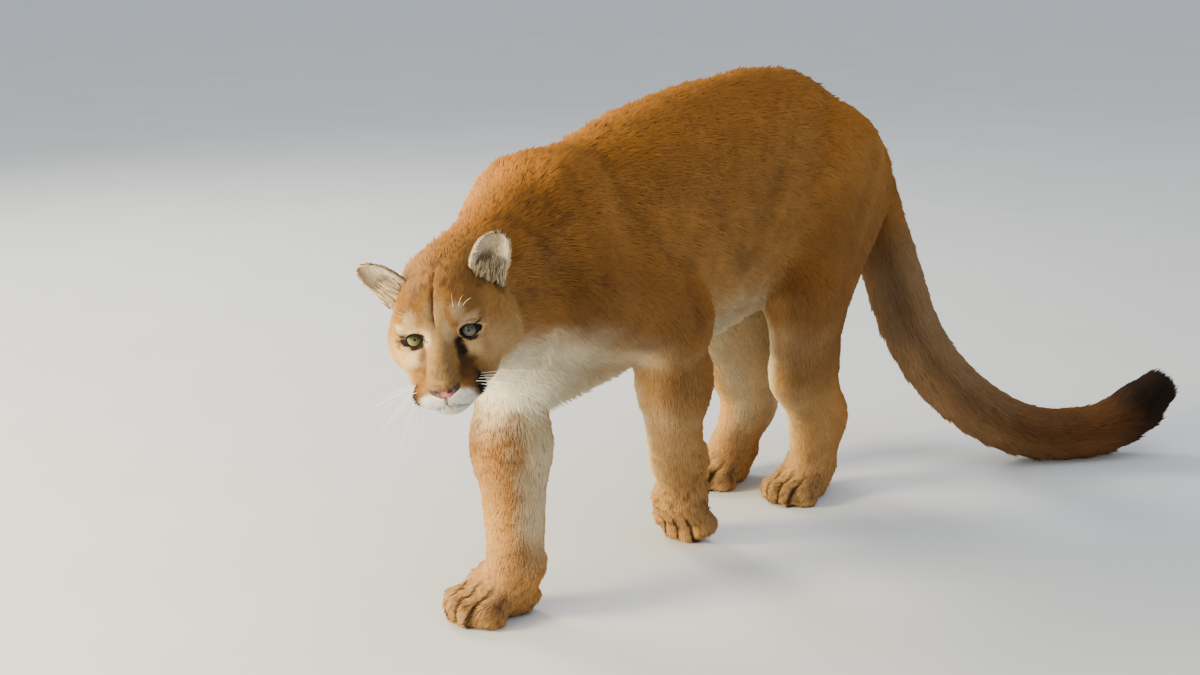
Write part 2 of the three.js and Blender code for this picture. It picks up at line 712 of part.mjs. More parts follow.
// The eye opening: an almond prism that leans up towards the outer corner
const OPENING = { half: 13.5, upper: 10.5, lower: 8, slant: 10, out: 6, rise: 1.5 };
function openingSolid(side) {
  const shape = new THREE.Shape();
  shape.moveTo(-OPENING.half, 0);
  shape.quadraticCurveTo(0, OPENING.upper * 2, OPENING.half, 0);
  shape.quadraticCurveTo(0, -OPENING.lower * 2, -OPENING.half, 0);
  const g = new THREE.ExtrudeGeometry(shape, { depth: 34, bevelEnabled: false, curveSegments: 5 });
  g.rotateX(Math.PI / 2);
  g.rotateY(THREE.MathUtils.degToRad(-OPENING.slant * side));
  g.rotateZ(THREE.MathUtils.degToRad(OPENING.out * side));
  g.translate(EYE_CENTRE[0] * side, EYE_CENTRE[1], EYE_CENTRE[2] + OPENING.rise);
  return solidOfGeometry(g.applyMatrix4(headFrame));
}
const sphereAt = (r, x, y, z, wide = 16, high = 12) =>
  solidOfGeometry(new THREE.SphereGeometry(r, wide, high).translate(...inHead(x, y, z)));
for (const side of [1, -1]) {
  const [x, y, z] = [EYE_CENTRE[0] * side, EYE_CENTRE[1], EYE_CENTRE[2]];
  skull = skull.add(sphereAt(EYE_RADIUS + LID_THICKNESS, x, y, z, 14, 10));
  skull = skull.subtract(openingSolid(side));
  skull = skull.subtract(sphereAt(EYE_RADIUS + GAP, x, y, z, 14, 10));
  const name = side > 0 ? "left" : "right";
  add(`eye_${name}`, sphereAt(EYE_RADIUS, x, y, z, 14, 10), iris);
  const ear = solidOfGeometry(earGeometry().applyMatrix4(earFrame(side)));
  add(`ear_${name}`, ear.subtract(grownHead), paleCoat);
}

// The point of the head's surface met from a point inside it, both in the head's frame
function surfaceFrom(start, direction) {
  const out = unit(direction);
  let near = 0,
    far = 200;
  for (let i = 0; i < 24; i++) {
    const half = (near + far) / 2;
    const p = start.map((c, k) => c + out[k] * half);
    if (body(...inHead(...p)) < 0) near = half;
    else far = half;
  }
  return new THREE.Vector3(...start.map((c, k) => c + out[k] * near)).applyMatrix4(headFrame);
}

// The line of the mouth, and the cleft of the lip below the nose
const MOUTH_HEIGHT = -40;
const MOUTH_DROP = 11;
const MOUTH_TURN = 66;
const GROOVE = 2.2;
const mouthLine = [-1, -0.75, -0.5, -0.25, 0, 0.25, 0.5, 0.75, 1].map((u) => {
  const turn = THREE.MathUtils.degToRad(MOUTH_TURN * u);
  const drop = MOUTH_DROP * Math.min(1, Math.abs(u) * 2.4);
  return surfaceFrom([0, -78, MOUTH_HEIGHT - drop], [Math.sin(turn), -Math.cos(turn), 0]);
});
const cleft = [-31, -35, -40].map((z) => surfaceFrom([0, -90, z], [0, -1, 0]));
for (const [line, steps] of [[mouthLine, 11], [cleft, 2]]) {
  const tube = new THREE.TubeGeometry(new THREE.CatmullRomCurve3(line), steps, GROOVE, 5, false);
  skull = skull.subtract(closedTube(tube, 5));
}

// Caps the two open ends of a tube with fans
function closedTube(tube, sides) {
  const p = tube.attributes.position;
  const rings = p.count / (sides + 1);
  const positions = [];
  const faces = [];
  for (let j = 0; j < rings; j++)
    for (let i = 0; i < sides; i++) {
      const k = j * (sides + 1) + i;
      positions.push(p.getX(k), p.getY(k), p.getZ(k));
    }
  for (let j = 0; j < rings - 1; j++)
    for (let i = 0; i < sides; i++) {
      const a = j * sides + i,
        b = j * sides + ((i + 1) % sides);
      faces.push(a, b, b + sides, a, b + sides, a + sides);
    }
  const last = (rings - 1) * sides;
  for (let i = 1; i < sides - 1; i++) faces.push(0, i + 1, i, last, last + i, last + i + 1);
  const g = new THREE.BufferGeometry();
  g.setAttribute("position", new THREE.BufferAttribute(new Float32Array(positions), 3));
  g.setIndex(faces);
  const solid = solidOfGeometry(g);
  return solid.volume() > 0 ? solid : solidOfGeometry(flipped(g));
}
function flipped(g) {
  const index = g.index.array;
  for (let i = 0; i < index.length; i += 3) [index[i + 1], index[i + 2]] = [index[i + 2], index[i + 1]];
  return g;
}

// The nose pad: the end of the muzzle inside a small block, with two nostrils
const NOSE_BLOCK = [[-20, -170, -31], [20, -114, -15]];
const nosePlace = (grow) => block(...NOSE_BLOCK, headFrame, grow);
const NOSTRIL = { across: 9, back: -129, height: -23, radius: 3.6 };
let nose = skull.intersect(nosePlace(-GAP / 2));
skull = skull.subtract(nosePlace(GAP / 2));
for (const side of [1, -1])
  nose = nose.subtract(sphereAt(NOSTRIL.radius, NOSTRIL.across * side, NOSTRIL.back, NOSTRIL.height, 8, 6));
add("nose", nose, noseSkin);
add("head", skull, coat);

// The origin is the middle of the whole animal's box, on the floor
const extent = new THREE.Box3().setFromObject(cougar);
const middle = extent.getCenter(new THREE.Vector3());
for (const part of cougar.children) part.geometry.translate(-middle.x, -middle.y, 0);

export default cougar;
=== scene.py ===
"""A cougar, life size, walking with its head low and turned to its left, as a museum model.

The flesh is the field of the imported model, in millimetres before the origin moved. It is meshed as one
skin, a coat's depth inside the solids, and covered with small solid tufts that lie along the body.
"""
import math

import bpy
import numpy as np
from mathutils import Matrix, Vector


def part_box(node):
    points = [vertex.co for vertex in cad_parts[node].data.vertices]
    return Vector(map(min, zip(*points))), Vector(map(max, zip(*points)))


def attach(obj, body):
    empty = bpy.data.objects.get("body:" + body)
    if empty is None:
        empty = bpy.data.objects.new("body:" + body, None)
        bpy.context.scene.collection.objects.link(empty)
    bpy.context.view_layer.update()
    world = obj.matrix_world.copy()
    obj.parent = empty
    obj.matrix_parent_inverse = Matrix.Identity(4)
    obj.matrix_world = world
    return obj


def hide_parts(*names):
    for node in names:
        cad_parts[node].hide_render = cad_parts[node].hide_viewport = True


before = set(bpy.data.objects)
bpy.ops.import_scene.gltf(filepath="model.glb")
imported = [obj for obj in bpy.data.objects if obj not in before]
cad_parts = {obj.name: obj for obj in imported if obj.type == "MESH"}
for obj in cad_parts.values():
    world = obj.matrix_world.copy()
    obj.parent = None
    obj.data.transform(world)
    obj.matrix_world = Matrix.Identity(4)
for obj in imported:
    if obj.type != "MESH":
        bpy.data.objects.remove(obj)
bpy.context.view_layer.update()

# The animal's own measures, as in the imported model, in millimetres
EYE_RADIUS = 16.5
EYE_CENTRE = (37.0, -51.0, 20.0)
TAIL_RADIUS = 50.0
TRUNK = np.array([
    (-478, 556, 400, 52),
    (-440, 616, 334, 84),
    (-380, 644, 292, 102),
    (-300, 664, 293, 112),
    (-200, 696, 310, 118),
    (-80, 718, 308, 120),
    (40, 730, 322, 114),
    (140, 734, 346, 106),
    (240, 721, 384, 100),
    (330, 674, 430, 90),
    (400, 630, 470, 70),
    (440, 585, 515, 48),
], float)
FRONT = {
    "fl": dict(side=1, blade=(50, -362, 592), shoulder=(102, -398, 462), elbow=(101, -194, 392),
               wrist=(36, -109, 140)),
    "fr": dict(side=-1, blade=(-50, -382, 590), shoulder=(-98, -430, 452), elbow=(-68, -376, 330),
               wrist=(46, -482, 84)),
}
HIND = {
    "hl": dict(side=1, hip=(72, 304, 580), seat=(50, 400, 506), knee=(102, 146, 366), calf=(70, 196, 236),
               heel=(68, 286, 146), hock=(68, 246, 124), toes=(62, 236, 44)),
    "hr": dict(side=-1, hip=(-72, 296, 580), seat=(-50, 396, 506), knee=(-112, 130, 366),
               calf=(-92, 232, 222), heel=(-90, 306, 146), hock=(-90, 264, 124), toes=(-90, 204, 42)),
}
PAWS = {
    "fr": dict(at=(22, -501, -1), heading=-3, pitch=0, size=1.03, ankle=(22, 20, 74), heel=(22, 24, 30)),
    "fl": dict(at=(38, -66, 75), heading=6, pitch=90, size=1.04, ankle=(6, 66, 34), heel=(0, 12, 22)),
    "hl": dict(at=(60, 214, -1), heading=2, pitch=0, size=0.98, ankle=(0, 34, 60), heel=(0, 20, 24)),
    "hr": dict(at=(-90, 190, -1), heading=-2, pitch=0, size=0.98, ankle=(0, 34, 60), heel=(0, 20, 24)),
}
HEAD = dict(at=(129, -684, 475), heading=39, pitch=14, roll=13.3)
TAIL = [(0, 412, 572), (2, 462, 518), (22, 484, 430), (50, 500, 340), (80, 514, 250), (130, 536, 168),
        (190, 572, 106), (248, 636, 60), (303, 706, 46), (350, 768, 54), (386, 820, 86), (400, 844, 108)]


# Small helpers
def vec(values):
    return np.asarray(values, float)


def unit(v):
    v = vec(v)
    return v / np.maximum(np.linalg.norm(v, axis=-1, keepdims=True), 1e-12)


def mix(a, b, t):
    return a + (b - a) * t


def smooth(x, low, high):
    t = np.clip((x - low) / (high - low), 0, 1)
    return t * t * (3 - 2 * t)


def join(a, b, k):
    """Smooth union of two distances over the blend width k."""
    h = np.maximum(k - np.abs(a - b), 0) / k
    return np.minimum(a, b) - h * h * k / 4


def carve(a, b, k):
    """What is left of distance a after the form with distance b is taken out of it."""
    return -join(-a, b, k)


def oval(*pairs):
    """Distance from an oval, from pairs of a place and a half width."""
    k0 = np.sqrt(sum((x / r) ** 2 for x, r in pairs))
    k1 = np.sqrt(sum((x / r ** 2) ** 2 for x, r in pairs))
    return k0 * (k0 - 1) / np.maximum(k1, 1e-6)


def bell(x, width):
    return np.exp(-(x / width) ** 2)


def turn(degrees, axis):
    return np.array(Matrix.Rotation(math.radians(degrees), 3, axis))


def axes_of(heading, pitch=0, roll=0):
    """A frame whose -Y axis has this heading towards +X, dips by pitch and rolls with its left side up."""
    return turn(heading, "Z") @ turn(pitch, "X") @ turn(-roll, "Y")


def lattice(ix, iy, iz, seed):
    h = (ix * 374761393 + iy * 668265263 + iz * 2147483647 + seed * 144665) & 0xFFFFFFFF
    h = ((h ^ (h >> 13)) * 1274126177) & 0xFFFFFFFF
    return ((h ^ (h >> 16)) & 0xFFFFFF) / float(0xFFFFFF)


def noise(points, scale, seed=0):
    """Smooth noise from -1 to 1 with features of that size."""
    p = points / scale
    i = np.floor(p).astype(np.int64)
    f = p - i
    f = f * f * (3 - 2 * f)
    total = np.zeros(len(points))
    for a in (0, 1):
        for b in (0, 1):
            for c in (0, 1):
                wx = f[:, 0] if a else 1 - f[:, 0]
                wy = f[:, 1] if b else 1 - f[:, 1]
                wz = f[:, 2] if c else 1 - f[:, 2]
                total += wx * wy * wz * lattice(i[:, 0] + a, i[:, 1] + b, i[:, 2] + c, seed)
    return total * 2 - 1


# The field of the flesh
REACH = 110.0
FAR = 400.0
HAIR_REACH = 90
HAIR_BLEND = 11.0


class Form:
    """A piece of the field: a distance, its blend, the box it fills, and the way its hair lies."""

    def __init__(self, distance, blend, low, high, flow):
        self.distance, self.blend, self.flow = distance, blend, vec(flow)
        self.low, self.high = vec(low), vec(high)

    def gap(self, low, high):
        return np.linalg.norm(np.maximum(np.maximum(self.low - high, low - self.high), 0))


def bar(a, b, ra, rb, blend=30, across=(1, 0, 0), flow=None):
    a, b = vec(a), vec(b)
    length = np.linalg.norm(b - a)
    n = (b - a) / length
    depth = unit(np.cross(n, across))
    side = np.cross(depth, n)

    def distance(p):
        q = p - a
        along = q @ n
        t = np.clip(along / length, 0, 1)
        over = along - t * length
        r1, r2 = mix(ra[0], rb[0], t), mix(ra[1], rb[1], t)
        return oval((q @ side, r1), (q @ depth, r2), (over, (r1 + r2) / 2))

    r = max(*ra, *rb)
    return Form(distance, blend, np.minimum(a, b) - r, np.maximum(a, b) + r, n if flow is None else flow)


def ball(c, r, blend=30, flow=(0, 1, 0)):
    c, r = vec(c), vec(r)

    def distance(p):
        q = (p - c) / r
        k0 = np.linalg.norm(q, axis=1)
        k1 = np.linalg.norm(q / r, axis=1)
        return k0 * (k0 - 1) / np.maximum(k1, 1e-6)

    return Form(distance, blend, c - r, c + r, flow)


class Group:
    """The smooth union of forms, made in a frame of its own."""

    def __init__(self, region, forms, blend=30, at=(0, 0, 0), axes=np.eye(3), size=1.0, mirrored=False):
        self.region, self.forms, self.blend = region, forms, blend
        self.at, self.axes, self.size, self.mirrored = vec(at), axes, size, mirrored

    def local(self, p):
        q = (p - self.at) @ self.axes / self.size
        if self.mirrored:
            q[:, 0] = np.abs(q[:, 0])
        return q

    def distance(self, p):
        q = self.local(p)
        low, high = q.min(0), q.max(0)
        d = np.full(len(p), FAR)
        for form in self.forms:
            if form.gap(low, high) < REACH / self.size:
                d = join(d, form.distance(q), form.blend)
        return d * self.size

    def flows(self, p):
        """Sum of the forms' hair directions, each weighed by nearness, and the sum of the weights."""
        q = (p - self.at) @ self.axes / self.size
        m = self.local(p)
        low, high = m.min(0), m.max(0)
        total, weight = np.zeros((len(p), 3)), np.zeros(len(p))
        for form in self.forms:
            if form.gap(low, high) > HAIR_REACH:
                continue
            w = np.exp(-np.clip(form.distance(m) * self.size, -20, HAIR_REACH) / HAIR_BLEND)
            f = form.flow(q) if callable(form.flow) else form.flow
            total += w[:, None] * f
            weight += w
        return total @ self.axes.T, weight


def station(y):
    """Top, underside and half width of the trunk at places along Y, on a smooth curve."""
    last = len(TRUNK) - 1
    yc = np.clip(y, TRUNK[0, 0], TRUNK[last, 0])
    i = np.clip(np.searchsorted(TRUNK[:, 0], yc) - 1, 0, last - 1)
    p0, p1, p2, p3 = (TRUNK[np.clip(i + k, 0, last)] for k in (-1, 0, 1, 2))
    span = p2[:, 0] - p1[:, 0]
    t = ((yc - p1[:, 0]) / span)[:, None]
    m1 = (p2 - p0)[:, 1:] / (p2 - p0)[:, :1] * span[:, None]
    m2 = (p3 - p1)[:, 1:] / (p3 - p1)[:, :1] * span[:, None]
    return ((2 * t ** 3 - 3 * t ** 2 + 1) * p1[:, 1:] + (t ** 3 - 2 * t ** 2 + t) * m1
            + (3 * t ** 2 - 2 * t ** 3) * p2[:, 1:] + (t ** 3 - t ** 2) * m2).T


def trunk_distance(p):
    x, y, z = p.T
    top, under, half = station(y)
    middle = under + (top - under) * 0.46
    height = np.where(z > middle, top - middle, middle - under)
    over = np.where(y < TRUNK[0, 0], y - TRUNK[0, 0], np.maximum(y - TRUNK[-1, 0], 0))
    return oval((x, half), (z - middle, height), (over, half * 0.7))


def trunk_flow(p):
    """Back along the trunk, and down its flanks."""
    f = np.zeros_like(p)
    f[:, 1] = 1.0
    f[:, 2] = -0.25 - 0.45 * smooth(-p[:, 2], -640, -380)
    f[:, 0] = np.sign(p[:, 0]) * 0.2 * smooth(p[:, 2], 560, 700)
    return unit(f)


def head_flow(p):
    """Away from the nose, over the face and back along the cheeks."""
    f = unit(p - np.array([0.0, -124, -12]))
    f[:, 1] += 0.55 + 0.5 * smooth(p[:, 1], -60, 40)
    f[:, 2] -= 0.35 * smooth(-p[:, 2], -10, 40)
    return unit(f)


def foreleg(side, blade, shoulder, elbow, wrist):
    b, s, e, w = map(vec, (blade, shoulder, elbow, wrist))
    upper_arm = b + (20 * side, 96, -92)
    return [
        bar(b, s, (28, 58), (44, 60), 45, flow=(0, 0.75, -0.6)),
        bar(s, e, (44, 64), (46, 54), 40, flow=(0, 0.6, -0.75)),
        bar(upper_arm, e, (32, 52), (40, 48), 40, flow=(0, 0.6, -0.75)),
        bar(e, mix(e, w, 0.45), (50, 58), (56, 55), 26),
        bar(mix(e, w, 0.4), w, (56, 56), (40, 40), 26),
    ]


def hindleg(side, hip, seat, knee, calf, heel, hock, toes):
    h, k, c, l, o, t = map(vec, (hip, knee, calf, heel, hock, toes))
    return [
        bar(h, k, (54, 92), (50, 74), 45, flow=(0, 0.55, -0.85)),
        bar(seat, c + (-4 * side, 10, 40), (46, 54), (38, 58), 45),
        ball(mix(k, mix(vec(seat), c, 0.6), 0.6), (30, 48, 66), 40, flow=(0, 0.3, -0.95)),
        bar(k, c, (52, 78), (44, 70), 34),
        bar(c, o, (43, 66), (38, 56), 30),
        bar(mix(c, l, 0.35), l, (24, 34), (22, 30), 24),
        bar(o, t, (36, 54), (36, 44), 24),
    ]


TOES = [(-34, -36), (-12.5, -52), (12.5, -52), (34, -36)]


def paw(ankle, heel):
    forms = [
        bar(ankle, (0, -4, 37), (35, 33), (42, 25), 20),
        bar(ankle, heel, (33, 31), (30, 27), 16),
        ball((0, 12, 17), (36, 30, 19), 14, flow=(0, -1, -0.3)),
    ]
    for x, reach in TOES:
        forms.append(bar((x * 0.72, -6, 34), (x, reach, 21), (15, 17), (17, 17), 15))
        forms.append(ball((x, reach - 5, 17), (16, 18, 17.5), 11, flow=(0, -0.8, -0.6)))
    return forms


HEAD_FORMS = [
    ball((0, 10, 20), (68, 82, 58), 30),
    ball((0, 66, 8), (62, 62, 60), 30),
    ball((22, -42, 36), (34, 30, 24), 20),
    ball((48, -4, -8), (34, 50, 36), 24),
    ball((34, -44, -36), (24, 32, 22), 20),
    ball((46, 24, -32), (34, 42, 34), 24),
    bar((0, -44, 30), (0, -112, -12), (18, 20), (17, 15), 18),
    bar((0, -58, -22), (0, -102, -33), (36, 30), (33, 24), 18),
    ball((20, -102, -36), (22, 21, 17.5), 10),
    ball((0, -121, -20), (14, 12, 10), 8),
    ball((0, -101, -53), (20, 18, 13), 12),
    bar((0, -84, -48), (32, 20, -50), (22, 16), (26, 22), 20),
    ball((0, 30, -38), (48, 54, 36), 26),
    ball((33, -56, -8), (24, 22, 20), 16),
]
for form in HEAD_FORMS:
    form.flow = head_flow

head_axes = axes_of(HEAD["heading"], HEAD["pitch"], HEAD["roll"])
head_at = vec(HEAD["at"])
head = Group("head", HEAD_FORMS, 30, head_at, head_axes, mirrored=True)


def in_head(p):
    return vec(p) @ head_axes.T + head_at


def to_head(p):
    return (p - head_at) @ head_axes


def halved(p):
    """Places in the head's frame with both sides as the left one, and which were on the right."""
    h = to_head(p)
    right = h[:, 0] < 0
    h[:, 0] = np.abs(h[:, 0])
    return h, right


nape = in_head((0, 66, 6))
back_along_neck = unit(np.array([0.0, -380, 528]) - nape) + (0, 0, -0.25)
neck = Group("neck", [
    bar((0, -380, 528), nape, (92, 115), (67, 72), 50, flow=back_along_neck),
    bar((0, -400, 430), in_head((0, 50, -36)), (84, 84), (54, 46), 50, flow=back_along_neck + (0, 0, -0.3)),
    bar((-6, -430, 384), (-14, -420, 338), (72, 60), (58, 48), 50, flow=(0, 0.5, -0.8)),
], 50)
trunk = Group("trunk", [Form(trunk_distance, 30, (-120, -520, 280), (120, 480, 740), (0, 1, 0))])
trunk.forms[0].flow = trunk_flow
legs = {name: Group("leg_" + name, foreleg(**joints)) for name, joints in FRONT.items()}
legs.update({name: Group("leg_" + name, hindleg(**joints)) for name, joints in HIND.items()})
paws = {}
for name, place in PAWS.items():
    paws[name] = Group("paw_" + name, paw(place["ankle"], place["heel"]), 18, place["at"],
                       axes_of(place["heading"], place["pitch"]), place["size"])


def centripetal(points, count):
    """Evenly spaced points on the smooth curve through the given ones."""
    pts = vec(points)
    ext = np.vstack([2 * pts[0] - pts[1], pts, 2 * pts[-1] - pts[-2]])
    out = []
    for i in range(len(pts) - 1):
        p = ext[i:i + 4]
        t = [0.0]
        for a, b in zip(p[:-1], p[1:]):
            t.append(t[-1] + np.linalg.norm(b - a) ** 0.5)
        for s in np.linspace(t[1], t[2], 40, endpoint=i == len(pts) - 2):
            a1 = (t[1] - s) / (t[1] - t[0]) * p[0] + (s - t[0]) / (t[1] - t[0]) * p[1]
            a2 = (t[2] - s) / (t[2] - t[1]) * p[1] + (s - t[1]) / (t[2] - t[1]) * p[2]
            a3 = (t[3] - s) / (t[3] - t[2]) * p[2] + (s - t[2]) / (t[3] - t[2]) * p[3]
            b1 = (t[2] - s) / (t[2] - t[0]) * a1 + (s - t[0]) / (t[2] - t[0]) * a2
            b2 = (t[3] - s) / (t[3] - t[1]) * a2 + (s - t[1]) / (t[3] - t[1]) * a3
            out.append((t[2] - s) / (t[2] - t[1]) * b1 + (s - t[1]) / (t[2] - t[1]) * b2)
    out = np.array(out)
    run = np.r_[0, np.cumsum(np.linalg.norm(np.diff(out, axis=0), axis=1))]
    at = np.linspace(0, run[-1], count + 1)
    return np.column_stack([np.interp(at, run, out[:, c]) for c in range(3)])


TAIL_STEPS = 22
tail_points = centripetal(TAIL, TAIL_STEPS)


def tail_radius(t):
    taper = 1.1 - 0.22 * t + 0.1 * math.sin(math.pi * t) + 0.45 * max(t - 0.75, 0)
    return TAIL_RADIUS * taper * math.sqrt(min(1, (1.07 - t) * 10))


tail_forms = []
for i in range(TAIL_STEPS):
    ra, rb = tail_radius(i / TAIL_STEPS), tail_radius((i + 1) / TAIL_STEPS)
    tail_forms.append(bar(tail_points[i], tail_points[i + 1], (ra, ra), (rb, rb), 1.5))
tail = Group("tail", tail_forms, 24)

GROUPS = [trunk, neck, head] + list(legs.values()) + list(paws.values()) + [tail]
NAMES = [g.region for g in GROUPS]


def in_blocks(function, points, size=140.0):
    """Applies a function to the points block by block, so that forms far from a block are left out."""
    key = np.floor(points / size).astype(np.int64) + 64
    code = key[:, 0] + 256 * key[:, 1] + 65536 * key[:, 2]
    order = np.argsort(code, kind="stable")
    result = None
    for part in np.split(order, np.flatnonzero(np.diff(code[order])) + 1):
        value = function(points[part])
        if result is None:
            result = np.empty((len(points),) + value.shape[1:])
        result[part] = value
    return result


def flesh_here(p):
    d = join(trunk.distance(p), neck.distance(p), 50)
    d = join(d, head.distance(p), 34)
    for name in legs:
        d = join(d, join(legs[name].distance(p), paws[name].distance(p), 16), 42)
    return join(d, tail.distance(p), 8 + 32 * smooth(p[:, 2], 470, 530))


def flesh(points):
    return in_blocks(flesh_here, points)


# How deep the coat is
def region_weights(points):
    def here(p):
        return np.column_stack([g.distance(p) for g in GROUPS])
    d = in_blocks(here, points)
    w = np.exp(-(d - d.min(1, keepdims=True)) / 12.0)
    return w / w.sum(1, keepdims=True)


def coat_depth(points, weights):
    """Depth of the coat, from the face and feet to the tail."""
    w = dict(zip(NAMES, weights.T))
    h = to_head(points)
    face = mix(1.8, 6.0, smooth(h[:, 1], -70, 50))
    depth = 7.5 * w["trunk"] + 9.0 * w["neck"] + face * w["head"] + 14.0 * w["tail"]
    depth += 3.0 * smooth(-points[:, 2], -420, -330) * (w["trunk"] + w["neck"])
    for name in legs:
        depth += mix(4.0, 7.5, smooth(points[:, 2], 120, 330)) * w["leg_" + name] + 2.6 * w["paw_" + name]
    return depth


# Fine forms of the face, in the head's frame
OPENING = dict(outer=9.2, inner=10.4, upper=8.6, lower=8.9, slant=10.0)
RIM = dict(outer=12.6, inner=13.6, upper=9.9, lower=12.6)
LID = 2.2
# where each eye looks, with its outer side as +X: the left one, then the right one
GAZE = {1: (0.033, -0.991, 0.130), -1: (-0.318, -0.924, 0.214)}


def opening_axes(side):
    y = -unit(GAZE[side])
    x = unit(np.cross(y, (0, 0, 1)))
    return np.column_stack([x, y, np.cross(x, y)]) @ turn(-OPENING["slant"], "Y")


def in_opening(h, right):
    """Place by an eye: across to the outer corner, into the head, and up, in the opening's own frame."""
    q = h - np.array(EYE_CENTRE)
    return np.where(right[:, None], q @ opening_axes(-1), q @ opening_axes(1))


def opening_distance(q, form=OPENING):
    """About how far each point is from the edge of the round opening, or of a like form."""
    half = np.where(q[:, 0] > 0, form["outer"], form["inner"])
    high = np.where(q[:, 2] > 0, form["upper"], form["lower"])
    return oval((q[:, 0], half), (q[:, 2], high))


def polyline_distance(p, line):
    best = np.full(len(p), FAR)
    for a, b in zip(line[:-1], line[1:]):
        e = b - a
        t = np.clip((p - a) @ e / (e @ e), 0, 1)
        best = np.minimum(best, np.linalg.norm(p - a - t[:, None] * e, axis=1))
    return best


def surface_from(start, direction, under=0.0):
    """The point of the flesh met from a point inside it, or one that deep under it, in the head's frame."""
    out = unit(direction)
    near, far = 0.0, 200.0
    for _ in range(24):
        half = (near + far) / 2
        inside = flesh_here(in_head(vec(start) + out * half)[None])[0] < 0
        near, far = (half, far) if inside else (near, half)
    return vec(start) + out * (near - under)


MOUTH_HEIGHT = -40.0
MOUTH_DROP = 11.0
MOUTH_TURN = 66.0
mouth_line = []
for u in np.linspace(0, 1, 13):
    a = math.radians(MOUTH_TURN * u)
    start = (0, -78, MOUTH_HEIGHT - MOUTH_DROP * min(1, 2.4 * u))
    mouth_line.append(surface_from(start, (math.sin(a), -math.cos(a), 0), 2.0))
mouth_line = np.array(mouth_line)
cleft = np.array([surface_from((0, -90, z), (0, -1, 0), 2.0) for z in (-31, -34, -37, -40)])


NOSTRIL = ball((8.6, -131.0, -23.0), (4.0, 4.8, 3.0))


def with_face(p, d):
    """The skin's distance with lids, nostrils, mouth and folds added to the flesh."""
    h, right = halved(p)
    q = in_opening(h, right)
    r = np.linalg.norm(h - np.array(EYE_CENTRE), axis=1)
    near_eye = smooth(-r, -34, -26)
    # the lids swell over the ball, with a crease above and below
    front = smooth(-q[:, 1], 0, 6)
    lidded = join(d, r - (EYE_RADIUS + LID), 6)
    gap = opening_distance(q)
    crease = bell(gap - 5.2, 1.3) * np.where(q[:, 2] > 0, 1.0, 0.6) * front
    d = mix(d, lidded + 0.9 * crease - 0.5 * bell(gap - 1.6, 1.2) * front, near_eye)
    shell = np.maximum(EYE_RADIUS - 2.4 - r, r - EYE_RADIUS - 20)
    pocket = np.maximum(np.maximum(gap, q[:, 1] + 4), shell)
    d = np.where(r < 40, carve(d, pocket, 1.2), d)
    # nostrils: a round hole and the slit of its wing
    hole = NOSTRIL.distance(h)
    wing = bar((10.0, -129.0, -22.5), (17.0, -121.0, -19.0), (1.5, 2.4), (1.1, 1.8)).distance(h)
    d = np.where(h[:, 1] < -100, carve(d, join(hole, wing, 2), 1.6), d)
    # the line of the mouth and the cleft of the lip
    line = polyline_distance(h, mouth_line) - 1.7
    d = carve(d, line, 2.2)
    d = carve(d, polyline_distance(h, cleft) - 1.3, 2.0)
    # the furrow of the brow and the dip before each eye
    furrow = bell(h[:, 0], 2.4) * smooth(h[:, 2], 30, 44) * smooth(-h[:, 1], -20, 10)
    return d + 1.6 * furrow


